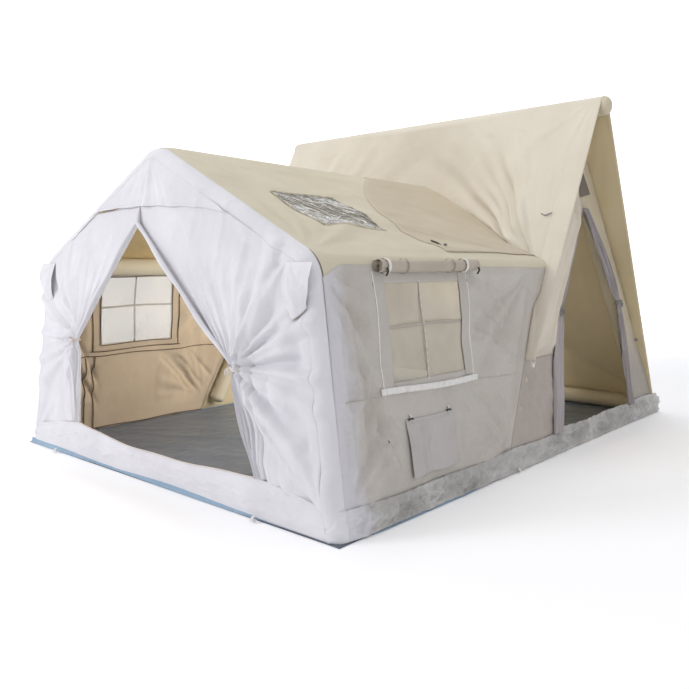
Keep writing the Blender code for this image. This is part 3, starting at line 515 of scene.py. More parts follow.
# Near the front, skirt_cloth takes the lit front's whiter tone: painted light.
skirt_cloth = canvas("skirt_cloth", (226, 224, 221), (158, 156, 152), 0.42, 0.05, 0.03, 0.3,
                     front=(226, 225, 232))
floor_cloth = canvas("floor_cloth", (100, 110, 124), (76, 88, 104), 0.45, 0.0, 0.008, 0.2)
edge_cloth = canvas("edge_cloth", (158, 182, 202), (128, 155, 180), 0.55, 0.05, 0.005, 0.15)
sleeve_cloth = canvas("sleeve_cloth", (218, 209, 186), (204, 194, 169), clear=0.12)
piping_cloth = webbing("piping_cloth", (120, 96, 74), (88, 68, 52))
cross_tape = webbing("cross_tape", (186, 180, 168), (160, 154, 142))
hem_cloth = canvas("hem_cloth", (222, 214, 210), (204, 194, 190), clear=0.0)
blind_cloth = canvas("blind_cloth", (192, 182, 168), (164, 153, 138), clear=0.05)
border_cloth = canvas("border_cloth", (198, 193, 186), (186, 180, 172), clear=0.1)
low_cloth = canvas("low_cloth", (192, 184, 177), (172, 163, 155), clear=0.1)
port_cloth = canvas("port_cloth", (198, 193, 190), (180, 174, 171), clear=0.1)
strip_cloth = canvas("strip_cloth", (232, 224, 208), (216, 207, 190), clear=0.15, low=(196, 188, 182))
wall_lining = canvas("wall_lining", (204, 186, 162), (190, 172, 147), clear=0.1)
# roof_lining is painted light: a yellow tone for the roof's underside lit through by the sun.
roof_lining = canvas("roof_lining", (208, 184, 134), (192, 168, 118), clear=0.15)
# tower_lining is painted light: a yellow-cream tone for the slopes' inner faces lit through.
tower_lining = canvas("tower_lining", (222, 208, 174), (208, 193, 158), clear=0.15)
seam_tape = webbing("seam_tape", (206, 198, 176), (184, 175, 152))
white_tape = webbing("white_tape", (238, 237, 234), (206, 204, 199))
grey_tape = webbing("grey_tape", (150, 147, 143), (118, 116, 113))
dark_cord = webbing("dark_cord", (58, 54, 50), (34, 32, 30))
net_cloth = netting("net_cloth", (206, 201, 190), 0.0034, 0.42)
# The film's dark olive tint is painted shade: the dark inside of the tent seen through the clear film.
film = clear_film("film", (112, 108, 90), 0.72)
bladder_skin = clear_film("bladder_skin", (200, 198, 190), 0.6)
black_plastic = plain("black_plastic", (38, 38, 40), 0.42)
white_plastic = plain("white_plastic", (232, 231, 228), 0.4)
grey_metal = plain("grey_metal", (150, 150, 152), 0.32, metal=0.9)
vent_net = canvas("vent_net", (132, 124, 114), (112, 104, 95), clear=0.1)
print(len(bpy.data.materials), "materials")

# %% [markdown]
# ## Cloth from numbers
# Each panel is a grid of points on the taut surface, pushed out or in by a wrinkle height. The
# height is a sum of a few simple kinds: a crumple that crosses itself, folds that fan out of a
# point where the cloth is pulled, and single long creases.

# %% Cloth from numbers
cloths = bpy.data.collections.new("tent_cloth")
bpy.context.scene.collection.children.link(cloths)
BODY = "tent"
FIVE = (-0.5, -0.25, 0, 0.25, 0.5)


def crumple(u, v, size, seed, angle=0.0, stretch=1.0, octaves=3, sharp=1.1):
    """A web of soft creases about size apart, drawn out along the angle by the stretch."""
    draw = np.random.default_rng(seed)
    along = (u * math.cos(angle) + v * math.sin(angle)) / stretch
    across = v * math.cos(angle) - u * math.sin(angle)
    total = np.zeros(np.shape(along + across))
    for octave in range(octaves):
        wave = np.zeros_like(total)
        for _ in range(9):
            turn = draw.uniform(0, math.pi)
            pitch = math.tau * 2**octave / size * draw.uniform(0.6, 1.4)
            run = along * math.cos(turn) + across * math.sin(turn)
            wave += np.sin(pitch * run + draw.uniform(0, math.tau))
        total += np.exp(-((sharp * wave / 2.1) ** 2)) / 2**octave
    return total / 1.75 - 0.4


def fan(u, v, centre, reach, count, seed, toward=None, spread=math.pi):
    """Folds that run out of a pulled point and widen and fade with distance."""
    draw = np.random.default_rng(seed)
    du, dv = u - centre[0], v - centre[1]
    far = np.hypot(du, dv)
    angle = np.arctan2(dv, du)
    total = np.zeros_like(far)
    for share in (1.0, 1.63, 0.57):
        drift = 0.5 * np.sin(far / reach * 3 + draw.uniform(0, math.tau))
        total += np.sin(angle * count * share + drift + draw.uniform(0, math.tau)) / (1 + share)
    if toward is not None:
        off = np.abs((angle - toward + math.pi) % math.tau - math.pi)
        total *= smooth(1.25 - off / spread)
    grown = far / reach
    return total * grown * np.exp(1 - grown)


def crease(u, v, start, end, width, bow=0.0):
    """One long fold from start to end, highest at its middle, that may bow to one side."""
    start, end = np.array(start, float), np.array(end, float)
    length = np.linalg.norm(end - start)
    way = (end - start) / length
    along = ((u - start[0]) * way[0] + (v - start[1]) * way[1]) / length
    across = (v - start[1]) * way[0] - (u - start[0]) * way[1]
    across = across - bow * 4 * along * (1 - along)
    side = np.where(across > 0, 1.7, 0.8)
    envelope = smooth(along * 4) * smooth((1 - along) * 4) * ((along > 0) & (along < 1))
    return np.exp(-((across / width * side) ** 2)) * envelope


def fans(u, v, *rows):
    """Several fans together. Each row is a height, then the fan's own values in order."""
    return sum(tall * fan(u, v, *rest) for tall, *rest in rows)


def long_creases(u, v, *rows):
    """Several creases together. Each row is a height, then the crease's own values in order."""
    return sum(tall * crease(u, v, *rest) for tall, *rest in rows)


def cells_inside(u, v, box):
    """Which cells of a grid lie within a box, given as its limits in u and then in v."""
    mid_u, mid_v = ((a[:-1, :-1] + a[1:, 1:]) / 2 for a in (u, v))
    return (mid_u > box[0]) & (mid_u < box[1]) & (mid_v > box[2]) & (mid_v < box[3])


# %% [markdown]
# Edges fade, so that panels meet, and a height turns a flat grid into wrinkled cloth.

# %% Edges and heights
def edge_fade(shape, rows=(6, 6), cols=(6, 6)):
    """1 inside a grid and 0 at its edges, so that neighbouring panels still meet."""
    r = np.arange(shape[0])[:, None]
    c = np.arange(shape[1])[None, :]
    fade = np.ones(shape)
    for index, last, (near, far) in ((r, shape[0] - 1, rows), (c, shape[1] - 1, cols)):
        if near:
            fade = fade * smooth(index / near)
        if far:
            fade = fade * smooth((last - index) / far)
    return fade


def normals_of(grid, toward):
    """The grid's normals, turned to the side that the vector points to."""
    normal = unit(np.cross(np.gradient(grid, axis=1), np.gradient(grid, axis=0)) + 1e-12)
    return normal * (1 if np.sum(normal @ np.asarray(toward, float)) > 0 else -1)


def not_below(height, near):
    """Keeps cloth from sinking into a tube: where near is 1, it only ever bulges outwards."""
    return mix(height, np.maximum(height, 0) + 0.001 * np.tanh(np.minimum(height, 0) / 0.001), near)


def push(grid, height, toward):
    return grid + normals_of(grid, toward) * np.asarray(height)[..., None]


def lengths(grid, axis):
    """How far along the cloth each point is, in one direction of the grid."""
    steps = np.linalg.norm(np.diff(grid, axis=axis), axis=-1)
    zero = np.zeros_like(np.take(steps, [0], axis=axis))
    return np.concatenate([zero, np.cumsum(steps, axis=axis)], axis=axis)


# %% [markdown]
# A grid or a path becomes a mesh here, and each piece is put on its body, and the solids that it
# stands for are hidden.

# %% Pieces
def grid_faces(grid):
    """The four corners of each cell of a grid, as rows by columns by corners."""
    rows, cols = grid.shape[:2]
    index = np.arange(rows * cols).reshape(rows, cols)
    return np.stack([index[:-1, :-1], index[:-1, 1:], index[1:, 1:], index[1:, :-1]], -1)


def mesh_object(name, verts, faces, material, uvs=None, smooth_shade=True):
    """A mesh at the origin, from arrays, with its map in metres."""
    mesh = bpy.data.meshes.new(name)
    mesh.from_pydata(np.asarray(verts).tolist(), [], np.asarray(faces).tolist())
    if uvs is not None:
        layer = mesh.uv_layers.new(name="map")
        corner = np.empty(len(mesh.loops), np.int32)
        mesh.loops.foreach_get("vertex_index", corner)
        layer.data.foreach_set("uv", np.asarray(uvs, np.float32)[corner].ravel())
    mesh.polygons.foreach_set("use_smooth", [smooth_shade] * len(mesh.polygons))
    mesh.materials.append(material)
    made = bpy.data.objects.new(name, mesh)
    cloths.objects.link(made)
    return made


def finish_piece(piece, replaces=(), body=BODY):
    """What the frame needs to know of a piece: its body and the solids it stands for."""
    if replaces:
        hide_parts(*replaces)
    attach(piece, body)
    return piece


def thicken(piece, amount, lining=None):
    """Gives the cloth its thickness inwards, so that its hems show, and its inner face a lining."""
    modifier = piece.modifiers.new("thickness", "SOLIDIFY")
    modifier.thickness, modifier.offset = amount, -1
    if lining:
        piece.data.materials.append(lining)
        modifier.material_offset = 1
    return piece


def cloth(name, grid, material, slot, toward, replaces=(), body=BODY, thick=0.0015, keep=None,
          held="stretched", rests_on=(), declare=True, flat=None, lining=None):
    """A panel of cloth from a grid of points; its flat size and its area are printed.

    Where no flat size is given, it is the longest line of the grid each way, rounded up."""
    faces = grid_faces(grid)
    cells = faces.reshape(-1, 4) if keep is None else faces[keep]
    across, down = lengths(grid, 1), lengths(grid, 0)
    first, second = grid[1:, 1:] - grid[:-1, :-1], grid[1:, :-1] - grid[:-1, 1:]
    normal = np.cross(first, second)
    if np.sum(normal @ np.asarray(toward, float)) < 0:
        cells = cells[:, ::-1]
    area = np.linalg.norm(normal, axis=-1) / 2
    area = float(area.sum() if keep is None else area[keep].sum())
    uvs = np.stack([across, down], -1).reshape(-1, 2)
    piece = mesh_object(name, grid.reshape(-1, 3), cells, material, uvs)
    thicken(piece, thick, lining)
    if flat is None:
        flat = [math.ceil(float(np.max(run)) * 100 + 1) / 100 for run in (across[:, -1], down[-1])]
    if declare:
        print(f"{name}: cut {flat[0]:.2f} by {flat[1]:.2f} m, {area:.2f} square metres")
    return finish_piece(piece, replaces, body)


def tube(name, path, radius, material, slot, replaces=(), around=40, ridges=0.0, seed=0, caps=False):
    """A tube of cloth along a path, with the small rings and dents of an air-filled sleeve."""
    path = np.asarray(path, float)
    run = np.concatenate([[0], np.cumsum(np.linalg.norm(np.diff(path, axis=0), axis=1))])
    tangent = unit(np.gradient(path, axis=0))
    side = np.cross(tangent[0], [0.31, 0.17, 0.93])
    frames = []
    for way in tangent:
        side = side - way * (side @ way)
        side = side / np.linalg.norm(side)
        frames.append((side, np.cross(way, side)))
    frames = np.array(frames)
    turn = np.linspace(0, math.tau, around + 1)
    r2, t2 = np.meshgrid(run, turn, indexing="ij")
    girth = float(np.max(radius))
    dent = crumple(r2, np.sin(t2) * girth * 2, 0.09, seed, octaves=2)
    dent += 0.6 * crumple(r2 / 3, np.cos(t2) * girth, 0.05, seed + 1, octaves=2)
    reach = np.asarray(radius)[..., None] if np.ndim(radius) else radius
    wide = reach * (1 + ridges / np.max(radius) * dent)
    ring = frames[:, 0][:, None] * np.cos(t2)[..., None] + frames[:, 1][:, None] * np.sin(t2)[..., None]
    grid = path[:, None] + ring * wide[..., None]
    faces = grid_faces(grid).reshape(-1, 4)
    uvs = np.stack([r2, t2 * girth], -1)
    piece = mesh_object(name, grid.reshape(-1, 3), faces, material, uvs.reshape(-1, 2))
    mesh = bmesh.new()
    mesh.from_mesh(piece.data)
    bmesh.ops.remove_doubles(mesh, verts=mesh.verts, dist=1e-5)
    if caps:
        bmesh.ops.holes_fill(mesh, edges=mesh.edges, sides=0)
    bmesh.ops.recalc_face_normals(mesh, faces=mesh.faces)
    mesh.to_mesh(piece.data)
    mesh.free()
    return finish_piece(piece, replaces) if slot else piece


def line(start, end, step=0.02):
    start, end = np.array(start, float), np.array(end, float)
    count = max(int(np.linalg.norm(end - start) / step), 2)
    return start + (end - start) * np.linspace(0, 1, count + 1)[:, None]


def rounded(corners, radius, step=0.02):
    """A path through corners, each turned into an arc."""
    corners = [np.array(c, float) for c in corners]
    path = [corners[0]]
    for before, corner, after in zip(corners, corners[1:], corners[2:]):
        into, out = unit(corner - before), unit(after - corner)
        turn = math.acos(np.clip(into @ out, -1, 1))
        start = corner - into * radius * math.tan(turn / 2)
        centre = corner + unit(out - into) * radius / math.cos(turn / 2)
        arm = start - centre
        axis = unit(np.cross(into, out))
        path.extend(line(path[-1], start, step)[1:])
        for share in np.linspace(0, 1, 9)[1:]:
            angle = turn * share
            path.append(centre + arm * math.cos(angle) + np.cross(axis, arm) * math.sin(angle))
    path.extend(line(path[-1], corners[-1], step)[1:])
    return np.array(path)


def cord(name, path, bend, radius, material, around=10, step=0.004):
    """A short round cord through a few points."""
    return tube(name, rounded(path, bend, step), radius, material, "tie_webbing", around=around)


print("cloth tools ready")


# %% [markdown]
# Stitches repeat hundreds of times, so Geometry Nodes lay them: each line of points becomes a
# curve, the curve gets a point every few millimetres, and each point gets one short thread that
# follows the line. The result is kept as a plain mesh.

# %% Stitches
stitches = bpy.data.node_groups.new("stitches", "GeometryNodeTree")
stitches.interface.new_socket("Geometry", in_out="INPUT", socket_type="NodeSocketGeometry")
kinds = {"Gap": "Float", "Length": "Float", "Thread": "Float", "Material": "Material"}
stitch_inputs = {}
for name, kind in kinds.items():
    socket = stitches.interface.new_socket(name, in_out="INPUT", socket_type=f"NodeSocket{kind}")
    stitch_inputs[name] = socket.identifier
stitches.interface.new_socket("Geometry", in_out="OUTPUT", socket_type="NodeSocketGeometry")


def stitch_node(kind, **inputs):
    """Adds a node to the stitches, with links to other sockets or with constants."""
    made = stitches.nodes.new(kind)
    for key, value in inputs.items():
        socket = made.inputs[key.replace("_", " ")]
        if isinstance(value, bpy.types.NodeSocket):
            stitches.links.new(value, socket)
        else:
            socket.default_value = value
    return made


wanted = stitches.nodes.new("NodeGroupInput").outputs
curve = stitch_node("GeometryNodeMeshToCurve", Mesh=wanted["Geometry"])
spaced = stitch_node("GeometryNodeResampleCurve", Curve=curve.outputs[0])
spaced.mode = "LENGTH"
stitches.links.new(wanted["Gap"], spaced.inputs["Length"])
thread = stitch_node(
    "GeometryNodeMeshCylinder", Vertices=8, Radius=wanted["Thread"], Depth=wanted["Length"]
)
tangent = stitch_node("GeometryNodeInputTangent").outputs[0]
along = stitch_node("FunctionNodeAlignRotationToVector", Vector=tangent)
along.axis = "Z"
uneven = stitch_node("FunctionNodeRandomValue", Seed=7)
uneven.inputs[2].default_value, uneven.inputs[3].default_value = 0.85, 1.1
placed = stitch_node("GeometryNodeInstanceOnPoints", Points=spaced.outputs[0],
                     Instance=thread.outputs[0], Rotation=along.outputs[0], Scale=uneven.outputs[1])
joined = stitch_node("GeometryNodeRealizeInstances", Geometry=placed.outputs[0])
sewn = stitch_node("GeometryNodeSetMaterial", Geometry=joined.outputs[0], Material=wanted["Material"])
stitches.links.new(sewn.outputs[0], stitches.nodes.new("NodeGroupOutput").inputs[0])


def stitch_row(name, path, gap, length, thread, material):
    """A row of stitches along a path, as a plain mesh."""
    mesh = bpy.data.meshes.new(name)
    mesh.from_pydata(np.asarray(path).tolist(), [(i, i + 1) for i in range(len(path) - 1)], [])
    made = bpy.data.objects.new(name, mesh)
    cloths.objects.link(made)
    modifier = made.modifiers.new("stitches", "NODES")
    modifier.node_group = stitches
    for key, value in (("Gap", gap), ("Length", length), ("Thread", thread), ("Material", material)):
        modifier[stitch_inputs[key]] = value
    bpy.context.view_layer.update()
    graph = bpy.context.evaluated_depsgraph_get()
    sewn_mesh = bpy.data.meshes.new_from_object(made.evaluated_get(graph))
    made.modifiers.clear()
    made.data = sewn_mesh
    return finish_piece(made)


print("stitches take", ", ".join(stitch_inputs))

# %% [markdown]
# ## Cabin roof
# The cabin's outer skin rounds over the tubes at ridge and eave. Near the front it rounds more,
# because the front arch bends in a wider curve there.

# %% Cabin roof
ARCH_BEND = 0.16
SIDES = ((1, "right"), (-1, "left"))
OUT = {1: (1, 0, 0.4), -1: (-1, 0, 0.4)}


def cabin_profile(y, share):
    """A point of the right half's skin: 0 on the ridge, 1 where the eave's curve meets the wall."""
    _, eave, ridge, wall_in, roof_in = corner_frame(y)
    radius = (INSET + ARCH_BEND * (1 - smooth((y - front_y(1.9)) / 0.22)))[..., None]
    dot = np.sum(wall_in * roof_in, -1, keepdims=True)
    eave_mid = eave + (wall_in + roof_in) * radius / (1 + dot)
    other = roof_in * np.array([-1, 1])
    dot = np.sum(roof_in * other, -1, keepdims=True)
    ridge_mid = ridge + (roof_in + other) * radius / (1 + dot)
    up = np.array([0.0, 1.0])
    share = share[..., None]
    first, last = ROOF_BENDS
    arc = ridge_mid + unit(mix(up, -roof_in, np.clip(share / first, 0, 1))) * radius
    flat = mix(ridge_mid, eave_mid, np.clip((share - first) / (last - first), 0, 1)) - roof_in * radius
    turn = unit(mix(-roof_in, -wall_in, np.clip((share - last) / (1 - last), 0, 1)))
    low = eave_mid + turn * radius
    return np.where(share < first, arc, np.where(share < last, flat, low))


ROOF_BENDS = (0.05, 0.93)
roof_shares = np.concatenate([
    np.linspace(0, ROOF_BENDS[0], 6)[:-1],
    np.linspace(*ROOF_BENDS, 105),
    np.linspace(ROOF_BENDS[1], 1, 10)[1:],
])


def roof_grid(side, columns):
    share = np.broadcast_to(roof_shares[:, None], (len(roof_shares), columns))
    slope_share = np.clip((share - ROOF_BENDS[0]) / (ROOF_BENDS[1] - ROOF_BENDS[0]), 0, 1)
    start = front_y(mix(CABIN_HEIGHT, EAVE_HEIGHT, slope_share)) + INSET - 0.006
    end = valley_y(slope_share) - 0.001
    across = np.linspace(0, 1, columns)[None, :]
    y = mix(start, end, across)
    profile = cabin_profile(y, share)
    return points(side * profile[..., 0], y, profile[..., 1]), slope_share


SKYLIGHT = (-1.75, -1.17, 0.40, 0.70)
ROOF_SLANT = 1.75


def roof_wrinkles(side, y, share):
    """Wrinkles of the roof and of the fly over it, with v down the slope in metres."""
    v = share * ROOF_SLANT
    height = 0.011 * crumple(y, v, 0.55, 11 + side, angle=0.5, stretch=2.4)
    height += fans(
        y, v, (0.014, (0.05, 1.72), 0.7, 17, 21 + side, -2.5, 1.1),
        (0.010, (-2.25, 1.72), 0.5, 14, 31 + side, -0.9, 0.9),
    )
    height += long_creases(
        y, v, (0.010, (-0.2, 1.66), (-1.2, 1.05), 0.05, 0.03),
        (0.008, (-0.2, 1.60), (-0.9, 0.55), 0.05, 0.05),
    )
    height -= 0.022 * np.sin(np.clip(share, 0, 1) * math.pi) * smooth((y + 2.25) / 0.5)
    height *= smooth(share / 0.04) * smooth((1 - share) / 0.06)
    height *= smooth((y - front_y(1.9) - 0.06) / 0.12)
    tubes = smooth((np.abs(share - 0.5) - 0.36) / 0.06) + smooth((front_y(1.9) + 0.22 - y) / 0.05)
    return not_below(height, np.clip(tubes, 0, 1))


for side, side_name in SIDES:
    grid, slope_share = roof_grid(side, 170)
    y = grid[..., 1]
    keep = ~cells_inside(y, slope_share, SKYLIGHT) if side > 0 else None
    grid = push(grid, roof_wrinkles(side, y, slope_share), OUT[side])
    cloth(f"cabin_roof_{side_name}", grid, roof_cloth, "roof_canvas", OUT[side], [f"roof_{side_name}"],
          keep=keep, lining=roof_lining,
          rests_on=[f"eave_beam_{side_name}_sleeve", "cabin_ridge_beam_sleeve"])

# %% [markdown]
# The walls are pulled at their corners, and crease towards the window and the ground.

# %% Cabin walls
WINDOW = (-1.77, -1.02, 0.80, 1.39)
wall_columns = np.concatenate([
    np.linspace(0, 0.26, 34)[:-1], np.linspace(0.26, 0.62, 50)[:-1], np.linspace(0.62, 1, 62),
])
wall_heights = np.concatenate([
    np.linspace(0, WINDOW[2], 54)[:-1], np.linspace(WINDOW[2], WINDOW[3], 40),
])


def wall_grid(side):
    """The side wall from its foot to where the eave's curve starts."""
    start = front_y(wall_heights) + INSET - 0.006
    end = slope_y(wall_heights) - 0.002
    y = np.stack([
        np.interp(wall_columns, [0, 0.26, 0.62, 1], [a, WINDOW[0], WINDOW[1], b])
        for a, b in zip(start, end)
    ])
    z = np.broadcast_to(np.maximum(wall_heights, 0.008)[:, None], y.shape)
    low = wall_point(side, y, z)
    top_y = y[-1]
    top_end = slope_y(1.47) - 0.002
    top_y = np.interp(wall_columns, [0, 0.26, 0.62, 1], [start[-1], WINDOW[0], WINDOW[1], top_end])
    top = cabin_profile(top_y, np.ones_like(top_y))
    top = points(side * top[:, 0], top_y, top[:, 1])
    steps = np.linspace(0, 1, 8)[1:, None, None]
    grid = np.concatenate([low, mix(low[-1][None], top[None], steps)])
    y, z = grid[..., 1], grid[..., 2]
    rear = smooth((y - slope_y(z) + 0.14) / 0.14) * (1 - smooth((z - 1.15) / 0.15))
    grid[..., 0] = mix(grid[..., 0], side * gable_x(z), rear)
    return grid


WALL_FANS = (
    (0.022, (-0.10, 1.44), 0.75, 15, 51, -2.5, 0.9), (0.016, (-2.25, 1.45), 0.6, 13, 52, -1.15, 0.7),
    (0.014, (-2.28, 0.15), 0.5, 13, 53, 0.9, 0.8), (0.014, (-0.60, 0.15), 0.5, 13, 54, 2.2, 0.9),
)
WALL_FOLDS = (
    (0.013, (-0.95, 1.50), (-0.33, 1.02), 0.035, 0.04),
    (0.011, (-0.93, 1.40), (-0.30, 0.80), 0.03, 0.05),
    (0.011, (-2.25, 1.50), (-1.85, 1.12), 0.03), (0.010, (-2.2, 1.42), (-1.87, 1.28), 0.022),
    (0.009, (-2.2, 0.95), (-1.75, 0.60), 0.03),
)
WALL_CREASES = (
    ((-0.93, 1.45), (-0.33, 0.95)), ((-0.93, 1.28), (-0.36, 0.85)), ((-0.92, 1.10), (-0.40, 0.78)),
    ((-2.16, 1.12), (-1.74, 0.35)), ((-2.16, 0.92), (-1.84, 0.28)), ((-2.08, 0.70), (-1.76, 0.20)),
    ((-1.15, 0.64), (-0.72, 0.20)), ((-0.98, 0.66), (-0.56, 0.22)), ((-0.78, 0.66), (-0.46, 0.30)),
    ((-2.24, 1.38), (-2.20, 0.20)), ((-2.15, 1.44), (-2.08, 0.20)), ((-2.05, 1.00), (-1.97, 0.18)),
)


def wall_height(side, y, z):
    """Wrinkles of the side wall, faded out at its edges, round its window and over the tubes."""
    height = 0.011 * crumple(y, z, 0.5, 41 + side, angle=1.0, stretch=2.4)
    height += fans(y, z, *WALL_FANS) + long_creases(y, z, *WALL_FOLDS)
    height += 0.007 * crumple(y, z, 0.20, 58 + side, angle=0.75, stretch=3.5) * smooth((1.05 - z) / 0.3)
    height += 0.012 * crumple(y, z, 0.13, 62 + side, angle=1.5, stretch=5.0) * smooth((-1.93 - y) / 0.2)
    for start, end in WALL_CREASES:
        height += (0.018 if start[0] < -2 else 0.011) * crease(y, z, start, end, 0.020, 0.02)
    near_window = np.maximum(np.abs(y + 1.395) - 0.46, np.abs(z - 1.09) - 0.40)
    height *= mix(0.25, 1, smooth(near_window / 0.10))
    height *= smooth((z - 0.10) / 0.16) * smooth((1.50 - z) / 0.10)
    height *= smooth((y - front_y(z) - INSET + 0.004) / 0.06) * smooth((slope_y(z) - y) / 0.08)
    near_port = np.maximum(np.abs(y + 1.46) - 0.27, np.abs(z - 0.40) - 0.21)
    height *= mix(0.15, 1, smooth(near_port / 0.08))
    tubes = smooth((z - 1.34) / 0.06) + smooth((front_y(z) + 0.20 - y) / 0.05)
    height = not_below(height, np.clip(tubes, 0, 1))
    return 1.4 * height - 0.003 * bell(z, 0.70, 0.006)


for side, side_name in SIDES:
    grid = wall_grid(side)
    y, z = grid[..., 1], grid[..., 2]
    inside = cells_inside(y, z, WINDOW)
    grid = push(grid, wall_height(side, y, z), OUT[side])
    cloth(
        f"cabin_wall_{side_name}", grid, side_cloth, "side_canvas", OUT[side], [f"wall_{side_name}"],
        keep=~inside, rests_on=[f"eave_beam_{side_name}_sleeve"], lining=wall_lining,
    )

# %% [markdown]
# ## Air tubes
# Each tube is a sleeve of cloth round a bladder of film. The sleeve is a little uneven, as cloth
# over air is, and its ends are domed.

# %% Air tubes
SLACK = 0.002
DOME = 0.05


def with_domes(path, radius):
    """Adds the close rings of a rounded end to a path, and gives each ring's radius."""
    shares = np.array([0, 0.02, 0.08, 0.2, 0.42, 0.7, 1.0])
    steps = DOME * shares[:, None]
    head = path[0] + unit(path[1] - path[0]) * steps
    tail = path[-1] + unit(path[-2] - path[-1]) * steps[::-1]
    clear = np.minimum(np.linalg.norm(path - path[0], axis=1), np.linalg.norm(path - path[-1], axis=1))
    body = path[clear > DOME * 1.1]
    bulge = np.sqrt(1 - 0.96 * (1 - shares) ** 2)
    radii = radius * np.concatenate([bulge, np.ones(len(body)), bulge[::-1]])
    return np.concatenate([head, body, tail]), radii


def air_tube(name, path, seed):
    """A sleeve and the bladder inside it."""
    rings, radii = with_domes(path, BEAM)
    tube(f"{name}_cloth", rings, radii, sleeve_cloth, "sleeve_fabric", [f"{name}_sleeve"],
         ridges=0.0018, seed=seed, caps=True)
    inner = path[1:-1]
    rings, radii = with_domes(inner, BEAM - 0.004)
    tube(f"{name}_film", rings, radii, bladder_skin, "bladder_film", [f"{name}_bladder"],
         around=20, seed=seed, caps=True)


def mirrored(half):
    """A half path on the right, with its twin on the left added."""
    return half + [points(-p[0], p[1], p[2]) for p in reversed(half[:-1])]


def front_arch(inset, foot_z, step=0.02):
    """The middle line of the front's corner tube, inside the outline by the inset."""
    _, eave, ridge = inset_corners(FRONT_FOOT, inset)
    corners = [(float(arch_edge_x(foot_z, inset)), foot_z), eave, ridge]
    return rounded(mirrored([points(x, front_y(z) + INSET, z) for x, z in corners]), ARCH_BEND, step)


air_tube("front_arch", front_arch(INSET + SLACK, 0.09), 1)
for side, side_name in SIDES:
    path = []
    for y in (front_y(EAVE_HEIGHT) + INSET + BEAM + SLACK, slope_y(EAVE_REAR_Z - INSET - BEAM) - SLACK):
        eave = inset_corners(y, INSET - 0.0001)[1]
        path.append(points(side * eave[0], y, eave[1]))
    air_tube(f"eave_beam_{side_name}", line(*path), 3 + side)
path = [points(0, y, inset_corners(y, INSET - 0.0014)[2][1])
        for y in (front_y(CABIN_HEIGHT) + INSET + BEAM + SLACK, VALLEY_RIDGE_Y)]
air_tube("cabin_ridge_beam", line(*path), 5)
air_tube("tower_ridge_beam", line((-RIDGE_END, TOWER_MID, RIDGE_Z), (RIDGE_END, TOWER_MID, RIDGE_Z)), 6)


def tower_arch_x(z):
    return gable_x(z) - INSET / math.cos(math.atan2(GABLE_LEAN, GABLE_LEAN_HEIGHT))


REAR_Z = 0.0903
rear_y = TOWER_REAR - INSET / math.sin(SLOPE) - REAR_Z / math.tan(SLOPE) - SLACK
air_tube("rear_base_beam", line((-1.615, rear_y, REAR_Z), (1.615, rear_y, REAR_Z)), 7)
bend = (2 * BEAM + GAP + 0.012) / (1 / math.sin(math.pi / 2 - SLOPE) - 1)
for side, side_name in SIDES:
    foot = points(side * tower_arch_x(0.085), slope_y(0.085) + INSET / math.sin(SLOPE), 0.085)
    apex = points(side * tower_arch_x(RIDGE_Z), TOWER_MID, RIDGE_Z)
    rear = points(foot[0], 2 * TOWER_MID - foot[1], foot[2])
    air_tube(f"tower_arch_{side_name}", rounded([foot, apex, rear], bend), 9 + side)
print("eight tubes")

# %% [markdown]
# ## Tower slopes
# The front slope comes down to the cabin roof in a sagging valley, and at each side it runs on
# down the cabin's corner as a strip, pulled to a tab low on the side wall. Both slopes wrap over the
# ridge tube to meet at its top.

# %% Tower slopes
STRIP_FOOT = EAVE_REAR_Z * 0.52
ARC = 14
UP = math.pi / 2


def over_ridge(foot, sign):
    """Straight cloth from each foot point up to the ridge tube, then round it to its top."""
    ty, tz = ridge_tangent(foot[:, 1], foot[:, 2])
    high = points(foot[:, 0], ty, tz)
    rows = [mix(foot, high, s) for s in np.linspace(0, 1, 130)]
    begin = np.arctan2(tz - RIDGE_Z, ty - TOWER_MID)
    begin = np.where(begin < 0, begin + math.tau, begin)
    for share in np.linspace(0, 1, ARC + 1)[1:]:
        angle = mix(begin, math.pi / 2, share)
        y, z = TOWER_MID + INSET * np.cos(angle), RIDGE_Z + INSET * np.sin(angle)
        rows.append(points(foot[:, 0], y, z))
    grid = np.array(rows)
    if sign < 0:
        grid[..., 1] = 2 * TOWER_MID - grid[..., 1]
    return grid


